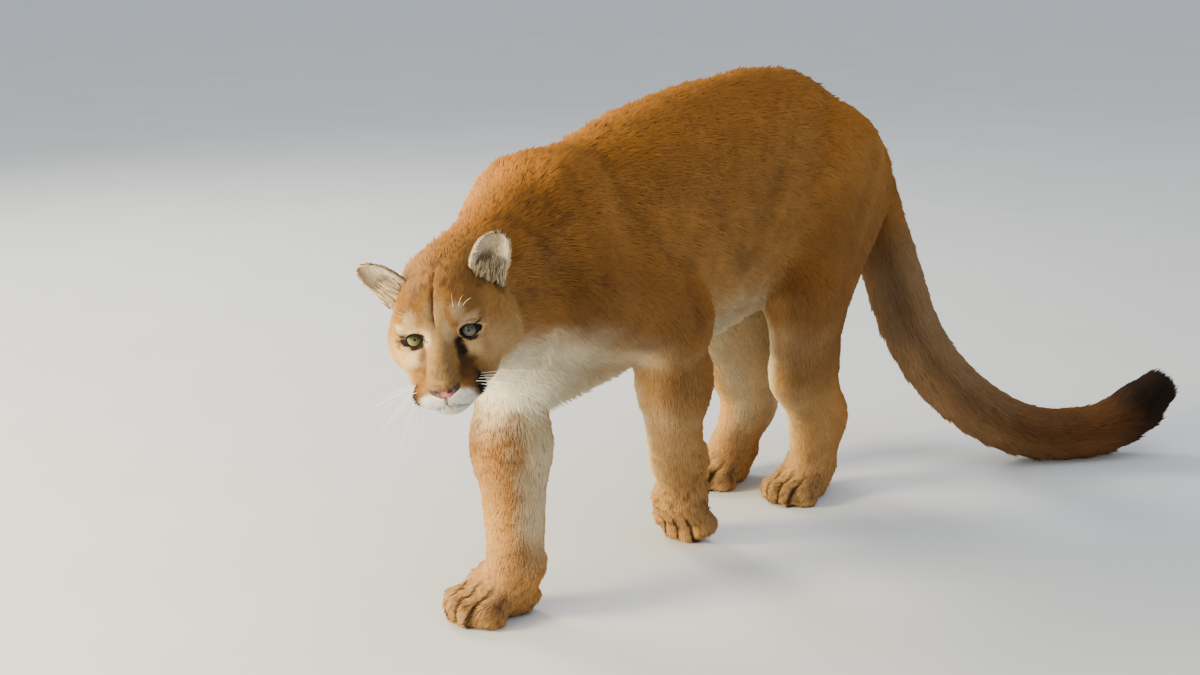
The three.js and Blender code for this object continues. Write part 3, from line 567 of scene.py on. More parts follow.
# Meshing
def surface_nets(field, low, high, cell, block=4):
    """A closed mesh of the field's zero level, with one vertex in each crossed cell."""
    low, high = np.asarray(low, float), np.asarray(high, float)
    n = (np.ceil((high - low) / cell / block).astype(int) + 1) * block + 1
    nb = (n - 1) // block
    ib = np.stack(np.meshgrid(*[np.arange(k) for k in nb], indexing="ij"), -1).reshape(-1, 3)
    mid = low + (ib + 0.5) * block * cell
    d = field(mid)
    values = np.repeat(np.repeat(np.repeat(d.reshape(nb), block, 0), block, 1), block, 2)
    values = np.pad(values, ((0, 1), (0, 1), (0, 1)), mode="edge")
    near = ib[np.abs(d) < block * cell * 1.5]
    offsets = np.stack(np.meshgrid(*[np.arange(block + 1)] * 3, indexing="ij"), -1).reshape(-1, 3)
    nodes = (near[:, None, :] * block + offsets[None]).reshape(-1, 3)
    flat = np.unique(nodes[:, 0] * n[1] * n[2] + nodes[:, 1] * n[2] + nodes[:, 2])
    nodes = np.stack([flat // (n[1] * n[2]), flat // n[2] % n[1], flat % n[2]], -1)
    values.ravel()[flat] = field(low + nodes * cell)
    for axis in range(3):
        edge = [slice(None)] * 3
        edge[axis] = [0, -1]
        values[tuple(edge)] = cell
    inside = values < 0
    corners = [(a, b, c) for a in (0, 1) for b in (0, 1) for c in (0, 1)]
    count = sum(inside[a:n[0] - 1 + a, b:n[1] - 1 + b, c:n[2] - 1 + c].astype(np.int8) for a, b, c in corners)
    cells = np.argwhere((count > 0) & (count < 8))
    total, hits = np.zeros((len(cells), 3)), np.zeros(len(cells))
    for a in corners:
        for axis in range(3):
            if a[axis]:
                continue
            b = list(a)
            b[axis] = 1
            pa, pb = cells + a, cells + b
            va, vb = values[tuple(pa.T)], values[tuple(pb.T)]
            crossed = (va < 0) != (vb < 0)
            t = np.where(crossed, va / np.where(crossed, va - vb, 1), 0)
            total += np.where(crossed[:, None], vec(a) + t[:, None] * (vec(b) - a), 0)
            hits += crossed
    vertices = low + (cells + total / hits[:, None]) * cell
    index = np.full(n, -1, np.int64)
    index[tuple(cells.T)] = np.arange(len(cells))
    quads = []
    for axis in range(3):
        step = np.eye(3, dtype=int)
        s, u, w = step[axis], step[(axis + 1) % 3], step[(axis + 2) % 3]
        stop = n - s
        first, second = inside[:stop[0], :stop[1], :stop[2]], inside[s[0]:, s[1]:, s[2]:]
        at = np.argwhere(first != second)
        steps = ((0, 0), (1, 0), (1, 1), (0, 1))
        ring = np.stack([index[tuple((at - p * u - q * w).T)] for p, q in steps], -1)
        back = ~first[tuple(at.T)]
        ring[back] = ring[back][:, ::-1]
        quads.append(ring)
    return vertices, split_quads(vertices, np.vstack(quads))


def split_quads(v, q):
    first = np.linalg.norm(v[q[:, 0]] - v[q[:, 2]], axis=1)
    short = first <= np.linalg.norm(v[q[:, 1]] - v[q[:, 3]], axis=1)
    one = np.where(short[:, None], q[:, [0, 1, 2]], q[:, [0, 1, 3]])
    two = np.where(short[:, None], q[:, [0, 2, 3]], q[:, [1, 2, 3]])
    return np.vstack([one, two])


def sides_of(t):
    return np.vstack([t[:, [0, 1]], t[:, [1, 2]], t[:, [2, 0]]])


def sums(index, values, count):
    """The three columns of the values, each summed by index."""
    return np.stack([np.bincount(index, values[:, c], count) for c in range(3)], -1)


def refine(v, t, marked):
    """Splits every edge between two marked vertices, so that the mesh stays closed."""
    pairs = np.sort(sides_of(t), axis=1)
    code = pairs[:, 0] * len(v) + pairs[:, 1]
    unique, inverse = np.unique(code, return_inverse=True)
    a, b = unique // len(v), unique % len(v)
    cut = marked[a] & marked[b]
    middle = np.full(len(unique), -1)
    middle[cut] = len(v) + np.arange(cut.sum())
    m = middle[inverse].reshape(3, -1).T
    v = np.vstack([v, (v[a[cut]] + v[b[cut]]) / 2])
    number = (m >= 0).sum(1)
    out = [t[number == 0]]
    k = number == 3
    (p, q, r), (pq, qr, rp) = t[k].T, m[k].T
    out += [np.stack(f, -1) for f in ((p, pq, rp), (pq, q, qr), (rp, qr, r), (pq, qr, rp))]
    for c in range(3):
        k = (number == 1) & (m[:, c] >= 0)
        p, q, r, s = t[k, c], t[k, (c + 1) % 3], t[k, (c + 2) % 3], m[k, c]
        out += [np.stack((p, s, r), -1), np.stack((s, q, r), -1)]
    return v, np.vstack(out)


def face_cross(v, t):
    return np.cross(v[t[:, 1]] - v[t[:, 0]], v[t[:, 2]] - v[t[:, 0]])


def normals_of(v, t):
    return unit(sums(t.ravel(), np.repeat(face_cross(v, t), 3, axis=0), len(v)))


def relax(v, t, which, share=0.5):
    """Draws each chosen vertex part of the way to the middle of its neighbours, along the surface."""
    e = sides_of(t)
    e = np.vstack([e, e[:, ::-1]])
    count = np.bincount(e[:, 0], minlength=len(v))
    mean = sums(e[:, 0], v[e[:, 1]], len(v)) / count[:, None]
    n = normals_of(v, t)
    move = mean - v
    move -= (move * n).sum(1, keepdims=True) * n
    v = v.copy()
    v[which] += share * move[which]
    return v


def settle(v, which, field, cell, passes=3):
    """Moves the chosen vertices onto the field's zero level along its slope."""
    p = v[which]
    e = cell * 0.08
    for _ in range(passes):
        d = field(p)
        g = np.stack([field(p + step) - field(p - step) for step in e * np.eye(3)], -1) / (2 * e)
        slope = np.maximum(np.linalg.norm(g, axis=1), 0.3)
        move = np.clip(d / slope, -cell * 0.45, cell * 0.45)
        p = p - g / slope[:, None] * move[:, None]
    v = v.copy()
    v[which] = p
    return v


# Folds between muscles: width, depth, how much shade is painted in them, whether both sides have them, and
# places
FOLDS = [
    (13, 4.5, 0.40, False, [(60, -390, 638), (96, -398, 590), (126, -402, 534), (144, -412, 492)]),
    (15, 5.0, 0.40, True, [(52, -304, 640), (78, -306, 612), (100, -300, 568), (114, -268, 532),
                           (124, -230, 496)]),
    (12, 5.0, 0.60, True, [(124, -238, 500), (124, -202, 480), (142, -208, 444), (154, -210, 396)]),
    (17, 5.5, 0.60, True, [(104, 70, 594), (112, 34, 552), (116, 4, 508), (116, -12, 472), (112, -46, 452)]),
    (16, 4.0, 0.25, True, [(122, 308, 608), (130, 280, 548), (138, 236, 480), (150, 180, 404)]),
    (14, 2.5, 0.40, True, [(88, -524, 588), (112, -508, 558), (120, -474, 512)]),
]


def in_folds(points, what):
    """How much each point lies in the folds, weighed by their depth (1) or their painted shade (2)."""
    def here(p):
        total = np.zeros(len(p))
        low, high = p.min(0), p.max(0)
        for fold in FOLDS:
            for side in (1, -1)[:1 + fold[3]]:
                line = vec(fold[4]) * (side, 1, 1)
                if (line.min(0) - 45 > high).any() or (line.max(0) + 45 < low).any():
                    continue
                total += fold[what] * bell(polyline_distance(p, line), fold[0])
        return total
    return in_blocks(here, points)


def skin_field(points):
    return flesh(points) + coat_depth(points, region_weights(points)) + in_folds(points, 1)


BODY_CELL = 7.6
v, t = surface_nets(skin_field, (-215, -835, -12), (455, 900, 760), BODY_CELL)
v = relax(v, t, np.ones(len(v), bool))
v = settle(v, np.ones(len(v), bool), skin_field, BODY_CELL, 2)


def paw_near(v, reach):
    near = np.zeros(len(v), bool)
    for g in paws.values():
        q = g.local(v)
        near |= ((q > (-66, -90, -20)) & (q < (66, 62 + reach, 66 + reach))).all(1)
    return near


def face_field(points):
    d = skin_field(points)
    return with_face(points, d)


def front_of_head(v, back):
    h = halved(v)[0]
    return (h[:, 1] < back) & (h[:, 0] < 130)


def near_eyes(v, reach=33):
    return np.linalg.norm(halved(v)[0] - np.array(EYE_CENTRE), axis=1) < reach


def fine_face(v):
    h = halved(v)[0]
    eye = near_eyes(v)
    mouth = polyline_distance(h, mouth_line) < 6
    nose = (h[:, 1] < -100) & (h[:, 0] < 22) & (h[:, 2] > -60)
    return eye | mouth | nose


# which part of the mesh is made finer, the length of its edges, and the field it settles on
LEVELS = [
    (lambda v: front_of_head(v, 96) | paw_near(v, 10), BODY_CELL / 2, skin_field),
    (lambda v: front_of_head(v, 26), BODY_CELL / 4, face_field),
    (fine_face, BODY_CELL / 8, face_field),
]
for marked, cell, field in LEVELS:
    v, t = refine(v, t, marked(v))
    which = marked(v)
    # the sockets lie far from the flesh's own surface, so they take more rounds
    for _ in range(4 if field is face_field else 1):
        v = relax(v, t, which)
        v = settle(v, which, field, cell, 3)
        which = near_eyes(v)
v[:, 2] = np.maximum(v[:, 2], 1.0)
normals = normals_of(v, t)
weights = region_weights(v)
print("skin", len(v), len(t))


def hair_lie(points, normals):
    """The way the coat lies at each point, along the skin."""
    def here(p):
        total, weight = np.zeros((len(p), 3)), np.zeros(len(p))
        for g in GROUPS:
            f, w = g.flows(p)
            total, weight = total + f, weight + w
        return total / np.maximum(weight, 1e-9)[:, None]
    f = in_blocks(here, points)
    f -= (f * normals).sum(1, keepdims=True) * normals
    return unit(f)


lie = hair_lie(v, normals)
depths = coat_depth(v, weights)

# Colours of the coat, as shares of light
def srgb(r, g, b):
    c = np.array([r, g, b]) / 255.0
    return np.where(c <= 0.04045, c / 12.92, ((c + 0.055) / 1.055) ** 2.4)


OCHRE = srgb(160, 102, 36)
TAN = srgb(182, 128, 66)
PALE_TAN = srgb(212, 170, 114)
CREAM = srgb(238, 216, 174)
WHITE = srgb(246, 240, 226)
BROWN = srgb(104, 66, 34)
GREY_BROWN = srgb(144, 112, 78)
DARK = srgb(52, 35, 23)
BLACK = srgb(20, 15, 13)
PINK = srgb(206, 112, 104)


def over(colour, top, share):
    return colour * (1 - share[:, None]) + top * share[:, None]


def plain(count, colour):
    return np.tile(colour, (count, 1))


def tail_share(p):
    """How far along the tail each point is, from 0 to 1."""
    d = np.linalg.norm(p[:, None, :] - tail_points[None], axis=2)
    k = np.clip(d.argmin(1), 1, TAIL_STEPS - 1)
    step = tail_points[k + 1] - tail_points[k - 1]
    q = p - tail_points[k]
    return np.clip((k + 2 * (q * step).sum(1) / (step * step).sum(1)) / TAIL_STEPS, 0, 1)


def coat_colour(p, n, w):
    """The markings, from place, the way the skin faces, and the shares of the regions."""
    w = dict(zip(NAMES, w.T))
    body = w["trunk"] + w["neck"]
    limbs = sum(w["leg_" + k] for k in legs)
    rough = 0.5 * noise(p, 38, 3) + 0.35 * noise(p, 15, 4) + 0.25 * noise(p, 7, 5)
    c = plain(len(p), TAN)
    back = smooth(n[:, 2] + 0.16 * rough, -0.1, 0.7)
    c = over(c, OCHRE, 0.9 * back * (body + limbs))
    # the flank pales downwards, and the rump and the thighs' rear edge are redder
    flank = smooth(-p[:, 2] + 30 * rough, -520, -400)
    c = over(c, PALE_TAN, 0.35 * flank * w["trunk"] * smooth(-n[:, 2], -0.5, 0.2))
    rump = smooth(n[:, 1] + 0.1 * rough, 0.2, 0.8) * smooth(p[:, 1], 100, 260)
    c = over(c, OCHRE, 0.8 * rump * (w["trunk"] + w["leg_hl"] + w["leg_hr"]))
    # pale belly, chest and throat
    under = smooth(-n[:, 2] + 0.15 * rough, 0.2, 0.75) * smooth(-p[:, 2], -560, -420)
    c = over(c, CREAM, 0.95 * under * (body + 0.4 * limbs))
    # the chest is pale cream, and the mix towards white on it is painted light from below
    chest = smooth(-p[:, 1], 340, 440) * smooth(-p[:, 2] + 16 * rough, -452, -392)
    chest = chest * (body + w["leg_fr"] + w["leg_fl"])
    c = over(c, mix(CREAM, WHITE, 0.3), 0.95 * chest * smooth(p[:, 2], 236, 300))
    # legs: paler low down, cream on their inner sides
    for name in legs:
        side = (FRONT | HIND)[name]["side"]
        foot = w["paw_" + name]
        share = w["leg_" + name] + foot
        pale, ragged, start, end = (0.2, 0.35, 0.4, 1.0) if name == "fr" else (0.45, 0.15, 0.1, 0.75)
        c = over(c, PALE_TAN, pale * smooth(-p[:, 2], -420, -220) * share
                 * smooth(-n[:, 1] + 0.2 * rough, -0.5, 0.6))
        inner = smooth(-n[:, 0] * side + ragged * rough, start, end)
        c = over(c, CREAM, 0.8 * inner * share * smooth(-p[:, 2], -500, -380) * smooth(p[:, 2], 60, 160))
        c = over(c, GREY_BROWN, 0.6 * foot * smooth(n[:, 2] + 0.3 * rough, -0.4, 0.6))
        c = over(c, BROWN, 0.75 * foot * smooth(noise(p, 8, 47) + 0.7 * noise(p, 3.5, 48), 0.0, 0.8))
        # the legs' outer sides are darker higher up: partly the coat's own colour, partly painted shade
        outer = smooth(n[:, 0] * side + 0.1 * rough, 0.0, 0.7) * smooth(-np.abs(p[:, 2] - 380), -220, -100)
        c = over(c, BROWN, 0.5 * outer * share)
        # painted shade in the clefts between the toes, and dark soles
        q = paws[name].local(p)
        between = np.minimum(np.abs(q[:, 0]), np.abs(np.abs(q[:, 0]) - 23))
        toe_cleft_shade = smooth(-between, -4.6, -1.2) * smooth(-q[:, 1], 14, 26) * foot
        c = over(c, DARK, 0.95 * toe_cleft_shade)
        c = over(c, DARK, 0.8 * share * smooth(-q[:, 2], -9, -3))
    # short dark bands across the front of the standing foreleg
    front = w["leg_fr"] * smooth(-n[:, 1], 0.2, 0.75)
    front = front * smooth(p[:, 2], 140, 240) * smooth(-p[:, 2], -410, -350)
    bands = noise(p * (0.3, 0.3, 1) + 1.4 * noise(p, 14, 41)[:, None], 4.0, 42)
    c = over(c, BROWN, front * (0.3 + 0.5 * smooth(bands, -0.1, 0.5)))
    # painted shade in the creases of the lifted foreleg's bent wrist
    wrist_crease_shade = noise(p * (0.3, 0.3, 1), 4.6, 43) * w["leg_fl"] * smooth(-np.abs(p[:, 2] - 150), -34, -12)
    c = over(c, BROWN, 0.45 * smooth(wrist_crease_shade, 0.1, 0.6))
    # tail: as the rump at its root, then grey-brown, and near-black at the tip
    t = tail_share(p) + 0.03 * rough
    hue = over(plain(len(p), OCHRE * 0.85), GREY_BROWN, smooth(t, 0.08, 0.28))
    hue = over(hue, BROWN * 1.1, smooth(t, 0.4, 0.8))
    hue = over(hue, DARK * 0.7, smooth(t, 0.84, 0.95))
    c = c * (1 - w["tail"][:, None]) + hue * w["tail"][:, None]
    # painted shade in the folds, dark flecks behind the ears and along the neck, and a slow mottling of the
    # whole coat
    c = over(c, BROWN * 0.8, np.clip(in_folds(p, 2), 0, 0.75) * (0.75 + 0.5 * rough))
    flecks = smooth(noise(p, 6, 45) + 0.5 * noise(p, 30, 46), 0.35, 0.75) * (w["neck"] + 0.4 * w["trunk"])
    c = over(c, BROWN, 0.6 * flecks * smooth(n[:, 2], -0.4, 0.3))
    c = c * (1 + 0.12 * noise(p, 60, 8) + 0.08 * noise(p, 18, 9))[:, None]
    face = face_colour(p, rough)
    c = c * (1 - w["head"][:, None]) + face * w["head"][:, None]
    return np.clip(c, 0.002, 0.95)


def spot(h, at, radii, soft=0.5):
    """1 within an oval round that place, easing out to nothing over its edge."""
    r = np.linalg.norm((h - vec(at)) / vec(radii), axis=1)
    return smooth(-r, -1 - soft / 2, -1 + soft / 2)


def stroke(h, points, wide, narrow=1.0):
    """1 within a distance of a broken line, easing out to nothing."""
    return smooth(-polyline_distance(h, vec(points)), -wide - narrow, -wide + narrow)


def face_colour(p, rough):
    signed = to_head(p)
    h, right = halved(p)
    wave = 3.0 * noise(h, 11, 51)[:, None] + 1.2 * noise(h, 4, 52)[:, None]
    k = h + wave
    fine = 0.6 * noise(h * (1, 0.5, 1), 4.2, 53) + 0.5 * noise(h * (1, 0.5, 1), 2.4, 54)
    c = plain(len(p), srgb(168, 120, 60)) * (1 + 0.3 * fine)[:, None]
    c = over(c, srgb(138, 94, 42), 0.8 * smooth(h[:, 2] + 6 * rough, 26, 62))
    speck = noise(h * (1, 0.45, 0.55), 4.6, 57) + 0.5 * noise(h, 14, 58)
    forehead = smooth(h[:, 2], 18, 46) * smooth(-h[:, 0], -44, -16)
    c = over(c, BROWN * 0.8, 0.85 * forehead * smooth(speck, 0.05, 0.6))

    def spots(c, *layers):
        for tint, most, place, at, radii, soft in layers:
            c = over(c, tint, most * spot(place, at, radii, soft))
        return c

    # cheeks pale downwards to the throat
    c = spots(c, (PALE_TAN, 0.75, k, (52, -54, -8), (22, 30, 22), 1.2),
              (PALE_TAN, 0.7, k, (62, -26, -28), (30, 44, 24), 1.2))
    c = over(c, CREAM, 0.9 * smooth(-k[:, 2], 34, 58) * smooth(h[:, 1], -84, -66))
    # dark flecks over the brow and round the roots of the ears
    brow = spot(k, (36, -34, 56), (26, 34, 22), 1.0) + spot(k, (50, 6, 62), (20, 22, 18), 1.0)
    c = over(c, BROWN, np.clip(brow, 0, 1) * (0.25 + 0.55 * smooth(fine, 0.05, 0.6)))
    c = over(c, DARK, 0.6 * spot(k, (73, 21, 27), (16, 18, 16), 0.9) * smooth(fine, -0.3, 0.4))
    c = over(c, DARK, 0.55 * spot(k, (48, 0, 62), (16, 20, 16), 1.0) * smooth(speck, -0.3, 0.5))
    c = spots(c, (BLACK, 0.9, signed, (-45, 30, 70), (11, 12, 9), 0.7))
    # the bridge of the nose, grey-tan with fine flecks
    bridge = smooth(-np.abs(k[:, 0]), -19, -11) * smooth(-h[:, 1], 44, 66) * smooth(h[:, 2], -22, -12)
    c = over(c, srgb(158, 126, 84), 0.85 * bridge)
    c = over(c, BROWN, bridge * smooth(-h[:, 1], 80, 118) * (0.15 + 0.4 * smooth(fine, 0.0, 0.6)))
    # the furrow of the brow
    line = stroke(h, [(0, 6, 80), (0, -40, 64), (0, -76, 38)], 5.0, 3.5)
    c = over(c, BROWN, 0.5 * line * smooth(fine, -0.4, 0.5))
    line = stroke(h, [(0, -3, 80), (0, -30, 71), (0, -60, 54), (0, -80, 36)], 3.2, 1.4)
    c = over(c, srgb(60, 26, 16), 0.95 * line * smooth(-h[:, 0], -2.4, -1.4))
    # pale patches round each eye
    left = signed[:, 0] > 0
    c = spots(c, (CREAM, 0.3, k, (28, -67, 45), (7, 12, 12), 1.3),
              (CREAM, 0.45, h, (41, -64, 36.5), (12, 8, 4.0), 1.0),
              (CREAM, 0.36, k, (14, -80, 27), (5, 9, 12), 1.3),
              (CREAM, np.where(left, 0.3, 0.5), k, (35, -77, 0), (12, 11, 10), 1.3))
    # dark marks from the eye's inner corner down the side of the muzzle to the black patch at the whiskers:
    # partly a real tear marking, partly painted shade, fullest on the left side, which lies in shade
    shade_side = np.where(left, 1.0, 0.55)
    line = stroke(k, [(22, -78, 13), (24, -82, 4), (26, -90, -10)], 6.5, 3.5)
    c = over(c, DARK, shade_side * 0.92 * line)
    c = spots(c, (BROWN * 0.7, shade_side * 0.9, k, (27, -98, -15), (11, 24, 13), 1.0))
    # white lips and chin, then the black patch beside them
    c = spots(c, (WHITE, 0.97, h, (16, -118, -40), (19, 19, 14.5), 0.35),
              (WHITE, 0.95, h, (0, -106, -58), (26, 26, 14), 0.5),
              (BROWN, 0.7, k, (31, -110, -29), (8, 12, 9), 1.0),
              (BLACK, 0.97, k, (38, -99, -32), (9, 20, 14), 0.5))
    # black rims of the lids, drawn out to both corners
    q = in_opening(h, right)
    edge = opening_distance(q, RIM)
    c = over(c, srgb(206, 178, 136), 0.45 * smooth(-edge, -7, -1) * smooth(-q[:, 1], 0, 4))
    rim = smooth(-edge, -0.6, 0.6) * smooth(-q[:, 1], 0, 4)
    c = over(c, BLACK, 0.97 * rim)
    outer, inner = q[:, 2] - 0.25 * q[:, 0] - 1, q[:, 2] - 0.35 * (q[:, 0] + 10) + 3
    corner = np.where(q[:, 0] > 0, np.abs(outer), np.abs(inner)) + 0.24 * (np.abs(q[:, 0]) - 11)
    c = over(c, BLACK, 0.95 * smooth(-corner, -2.4, -1.2) * smooth(np.abs(q[:, 0]), 9, 11)
             * smooth(-np.abs(q[:, 0]), -19.5, -17) * smooth(-q[:, 1], -3, 2))
    # the black tear mark below each inner corner, drawn fuller on the left side as painted shade
    c = over(c, BLACK, shade_side * 0.95 * stroke(h, [(23, -76, 15), (24, -79, 8), (25, -81, 1)], 5.0, 1.6))
    c = over(c, BLACK, 0.9 * smooth(-polyline_distance(h, mouth_line), -2.9, -1.4))
    c = over(c, BLACK, 0.8 * smooth(-polyline_distance(h, cleft), -2.2, -1.1))
    return c


# The bare pad of the nose: its top, its foot, and its half width at both
PAD = dict(top=-16.5, foot=-31.5, wide=20.0, narrow=6.0, front=-116.0)


def nose_share(p):
    """1 on the bare pad of the nose, which narrows downwards."""
    h = to_head(p)
    half = mix(PAD["narrow"], PAD["wide"], smooth(h[:, 2], PAD["foot"] - 1, PAD["top"] - 7))
    inside = smooth(half - np.abs(h[:, 0]), -1, 1) * smooth(h[:, 2] - PAD["foot"], -1, 1)
    return inside * smooth(PAD["top"] - h[:, 2], -1, 1) * smooth(PAD["front"] - h[:, 1], -1, 1)


# From the field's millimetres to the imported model's metres
eye_box = np.array(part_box("eye_left"))
shift = eye_box.mean(0) * 1000 - in_head(EYE_CENTRE)
shift[2] = 0.0


def to_world(points):
    return (vec(points) + shift) / 1000.0


def link(name, data):
    ob = bpy.data.objects.new(name, data)
    bpy.context.scene.collection.objects.link(ob)
    return ob


def mesh_object(name, v, t, material, colours=None, uv=None, uv_corner=None, shading=None):
    """A mesh object from arrays: vertices in millimetres, triangles, colours and the bake's map."""
    me = bpy.data.meshes.new(name)
    me.vertices.add(len(v))
    me.vertices.foreach_set("co", to_world(v).astype(np.float32).ravel())
    me.loops.add(len(t) * 3)
    me.loops.foreach_set("vertex_index", t.astype(np.int32).ravel())
    me.polygons.add(len(t))
    me.polygons.foreach_set("loop_start", np.arange(0, 3 * len(t), 3, dtype=np.int32))
    me.update(calc_edges=True)
    me.shade_smooth()
    if shading is not None:
        me.normals_split_custom_set_from_vertices(shading)
    if colours is not None:
        rgba = np.ones((len(v), 4), np.float32)
        rgba[:, :3] = colours
        me.attributes.new("coat", "FLOAT_COLOR", "POINT").data.foreach_set("color", rgba.ravel())
    if uv is not None:
        uv_corner = uv[t.ravel()]
    if uv_corner is not None:
        layer = me.uv_layers.new(name="OFBake")
        layer.data.foreach_set("uv", np.asarray(uv_corner, np.float32).ravel())
    me.materials.append(material)
    return link(name, me)


# An unwrap of the skin: each region round its own axis
def axis_of(region):
    kind, _, name = region.partition("_")
    if kind == "trunk":
        return (0, -520, 500), (0, 480, 500), (0, 0, 1)
    if kind == "neck":
        return (0, -340, 480), tuple(nape), (0, 0, 1)
    if kind == "head":
        return tuple(in_head((0, 130, 0))), tuple(in_head((0, -140, -20))), (0, 0, 1)
    if kind == "leg":
        joints = (FRONT | HIND)[name]
        low = np.array(joints.get("wrist", joints.get("toes")), float)
        high = np.array(joints.get("blade", joints.get("hip")), float)
        return tuple(high), tuple(low), (0, 1, 0)
    if kind == "paw":
        g = paws[name]
        ends = [tuple(g.axes @ end * g.size + g.at) for end in ((0, 70, 30), (0, -75, 20))]
        return ends[0], ends[1], (0, 0.3, 1)
    return None


def unwrap(points, region):
    """Two coordinates from 0 to 1: along the region's axis, and round it."""
    if region == "tail":
        d = np.linalg.norm(points[:, None, :] - tail_points[None], axis=2)
        i = np.clip(d.argmin(1), 1, TAIL_STEPS - 1)
        step = unit(tail_points[i + 1] - tail_points[i - 1])
        q = points - tail_points[i]
        along = (i + (q * step).sum(1) / np.linalg.norm(tail_points[1] - tail_points[0])) / TAIL_STEPS
        side = unit(np.cross(step, (0.6, -0.8, 0)))
        up = np.cross(side, step)
        angle = np.arctan2((q * side).sum(1), (q * up).sum(1))
        return np.column_stack([np.clip(0.06 + 0.88 * along, 0.01, 0.99), angle / math.tau * 0.98 + 0.5])
    a, b, up = (np.array(c, float) for c in axis_of(region))
    n = unit(b - a)
    side = unit(np.cross(n, up))
    up = np.cross(side, n)
    q = points - a
    along = q @ n / np.linalg.norm(b - a)
    angle = np.arctan2(q @ side, q @ up)
    return np.column_stack([np.clip(0.15 + 0.7 * along, 0.01, 0.99), angle / math.tau * 0.98 + 0.5])


ATLAS = 4


def skin_uv(v, t):
    region = weights[t].sum(1).argmax(1)
    out = np.zeros((len(t), 3, 2))
    for k, name in enumerate(NAMES):
        which = np.flatnonzero(region == k)
        if not len(which):
            continue
        uv = unwrap(v[t[which]].reshape(-1, 3), name).reshape(-1, 3, 2)
        wide = uv[:, :, 1].max(1) - uv[:, :, 1].min(1) > 0.5
        fixed = uv[wide, :, 1]
        uv[wide, :, 1] = np.where(fixed < 0.5, 0.99, fixed)
        tile = np.array([k % ATLAS, k // ATLAS])
        out[which] = (tile + 0.02 + 0.96 * uv) / ATLAS
    return out.reshape(-1, 2)


# Materials
def new_material(name, roughness=0.8, specular=0.3):
    m = bpy.data.materials.new(name)
    m.use_nodes = True
    nodes, links = m.node_tree.nodes, m.node_tree.links
    shader = nodes["Principled BSDF"]
    shader.inputs["Roughness"].default_value = roughness
    shader.inputs["Specular IOR Level"].default_value = specular
    return m, nodes, links, shader


def noise_node(nodes, scale, detail=2.0):
    n = nodes.new("ShaderNodeTexNoise")
    n.inputs["Scale"].default_value = scale
    n.inputs["Detail"].default_value = detail
    return n


def shaded(nodes, links, source, factor, low, high):
    """The source colour, made darker or lighter by a factor from 0 to 1."""
    ramp = nodes.new("ShaderNodeMapRange")
    ramp.inputs["To Min"].default_value = low
    ramp.inputs["To Max"].default_value = high
    links.new(factor, ramp.inputs["Value"])
    mixer = nodes.new("ShaderNodeMix")
    mixer.data_type = "RGBA"
    mixer.blend_type = "MULTIPLY"
    mixer.inputs["Factor"].default_value = 1.0
    links.new(source, mixer.inputs["A"])
    links.new(ramp.outputs["Result"], mixer.inputs["B"])
    return mixer.outputs["Result"]


def on_object(nodes, links, texture):
    where = nodes.new("ShaderNodeTexCoord")
    links.new(where.outputs["Object"], texture.inputs["Vector"])


def coloured(nodes, links, shader, texture, factor, low, high):
    """The mesh's own colours, made a little darker and lighter by a texture."""
    attribute = nodes.new("ShaderNodeAttribute")
    attribute.attribute_name = "coat"
    on_object(nodes, links, texture)
    colour = shaded(nodes, links, attribute.outputs["Color"], texture.outputs[factor], low, high)
    links.new(colour, shader.inputs["Base Color"])


def bumped(nodes, links, shader, height, strength, distance):
    bump = nodes.new("ShaderNodeBump")
    bump.inputs["Strength"].default_value = strength
    bump.inputs["Distance"].default_value = distance
    links.new(height, bump.inputs["Height"])
    links.new(bump.outputs["Normal"], shader.inputs["Normal"])


def coat_material(name, roughness, bump_scale=0.0, bump=0.0):
    m, nodes, links, shader = new_material(name, roughness, 0.15)
    coloured(nodes, links, shader, noise_node(nodes, 420.0, 3.0), "Fac", 0.78, 1.22)
    if bump:
        grain = noise_node(nodes, bump_scale, 4.0)
        on_object(nodes, links, grain)
        bumped(nodes, links, shader, grain.outputs["Fac"], bump, 0.002)
    return m


def ramped_material(name, roughness, specular, scale, dark, light):
    """A material between two colours, by slow noise."""
    m, nodes, links, shader = new_material(name, roughness, specular)
    texture = noise_node(nodes, scale)
    on_object(nodes, links, texture)
    ramp = nodes.new("ShaderNodeValToRGB")
    ramp.color_ramp.elements[0].color = dark
    ramp.color_ramp.elements[1].color = light
    links.new(texture.outputs["Fac"], ramp.inputs["Fac"])
    links.new(ramp.outputs["Color"], shader.inputs["Base Color"])
    return m


skin_material = coat_material("skin_under_coat", 0.9, 500.0, 0.5)
fur_material = coat_material("fur", 0.7)

nose_material, nodes, links, shader = new_material("nose_leather", 0.42, 0.5)
cells = nodes.new("ShaderNodeTexVoronoi")
cells.inputs["Scale"].default_value = 900.0
coloured(nodes, links, shader, cells, "Distance", 0.75, 1.2)
bumped(nodes, links, shader, cells.outputs["Distance"], 0.5, 0.0008)

eye_material, nodes, links, shader = new_material("eye", 0.06, 0.14)
coloured(nodes, links, shader, noise_node(nodes, 900.0, 3.0), "Fac", 0.8, 1.2)

whisker_material = ramped_material("whisker", 0.35, 0.5, 60.0, (0.70, 0.66, 0.58, 1), (0.92, 0.90, 0.86, 1))

# The skin and the pad of the nose
colours = coat_colour(v, normals, weights)
FLESH_NODES = ["torso", "neck", "head", "nose", "tail_base", "tail_middle", "tail_tip"]
for side in ("left", "right"):
    FLESH_NODES += ["upper_foreleg_" + side, "forearm_" + side, "forepaw_" + side]
    FLESH_NODES += ["thigh_" + side, "shank_" + side, "hindpaw_" + side]
pad = nose_share(v)[t].mean(1) > 0.5


def compact(t):
    used, inverse = np.unique(t, return_inverse=True)
    return used, inverse.reshape(t.shape)


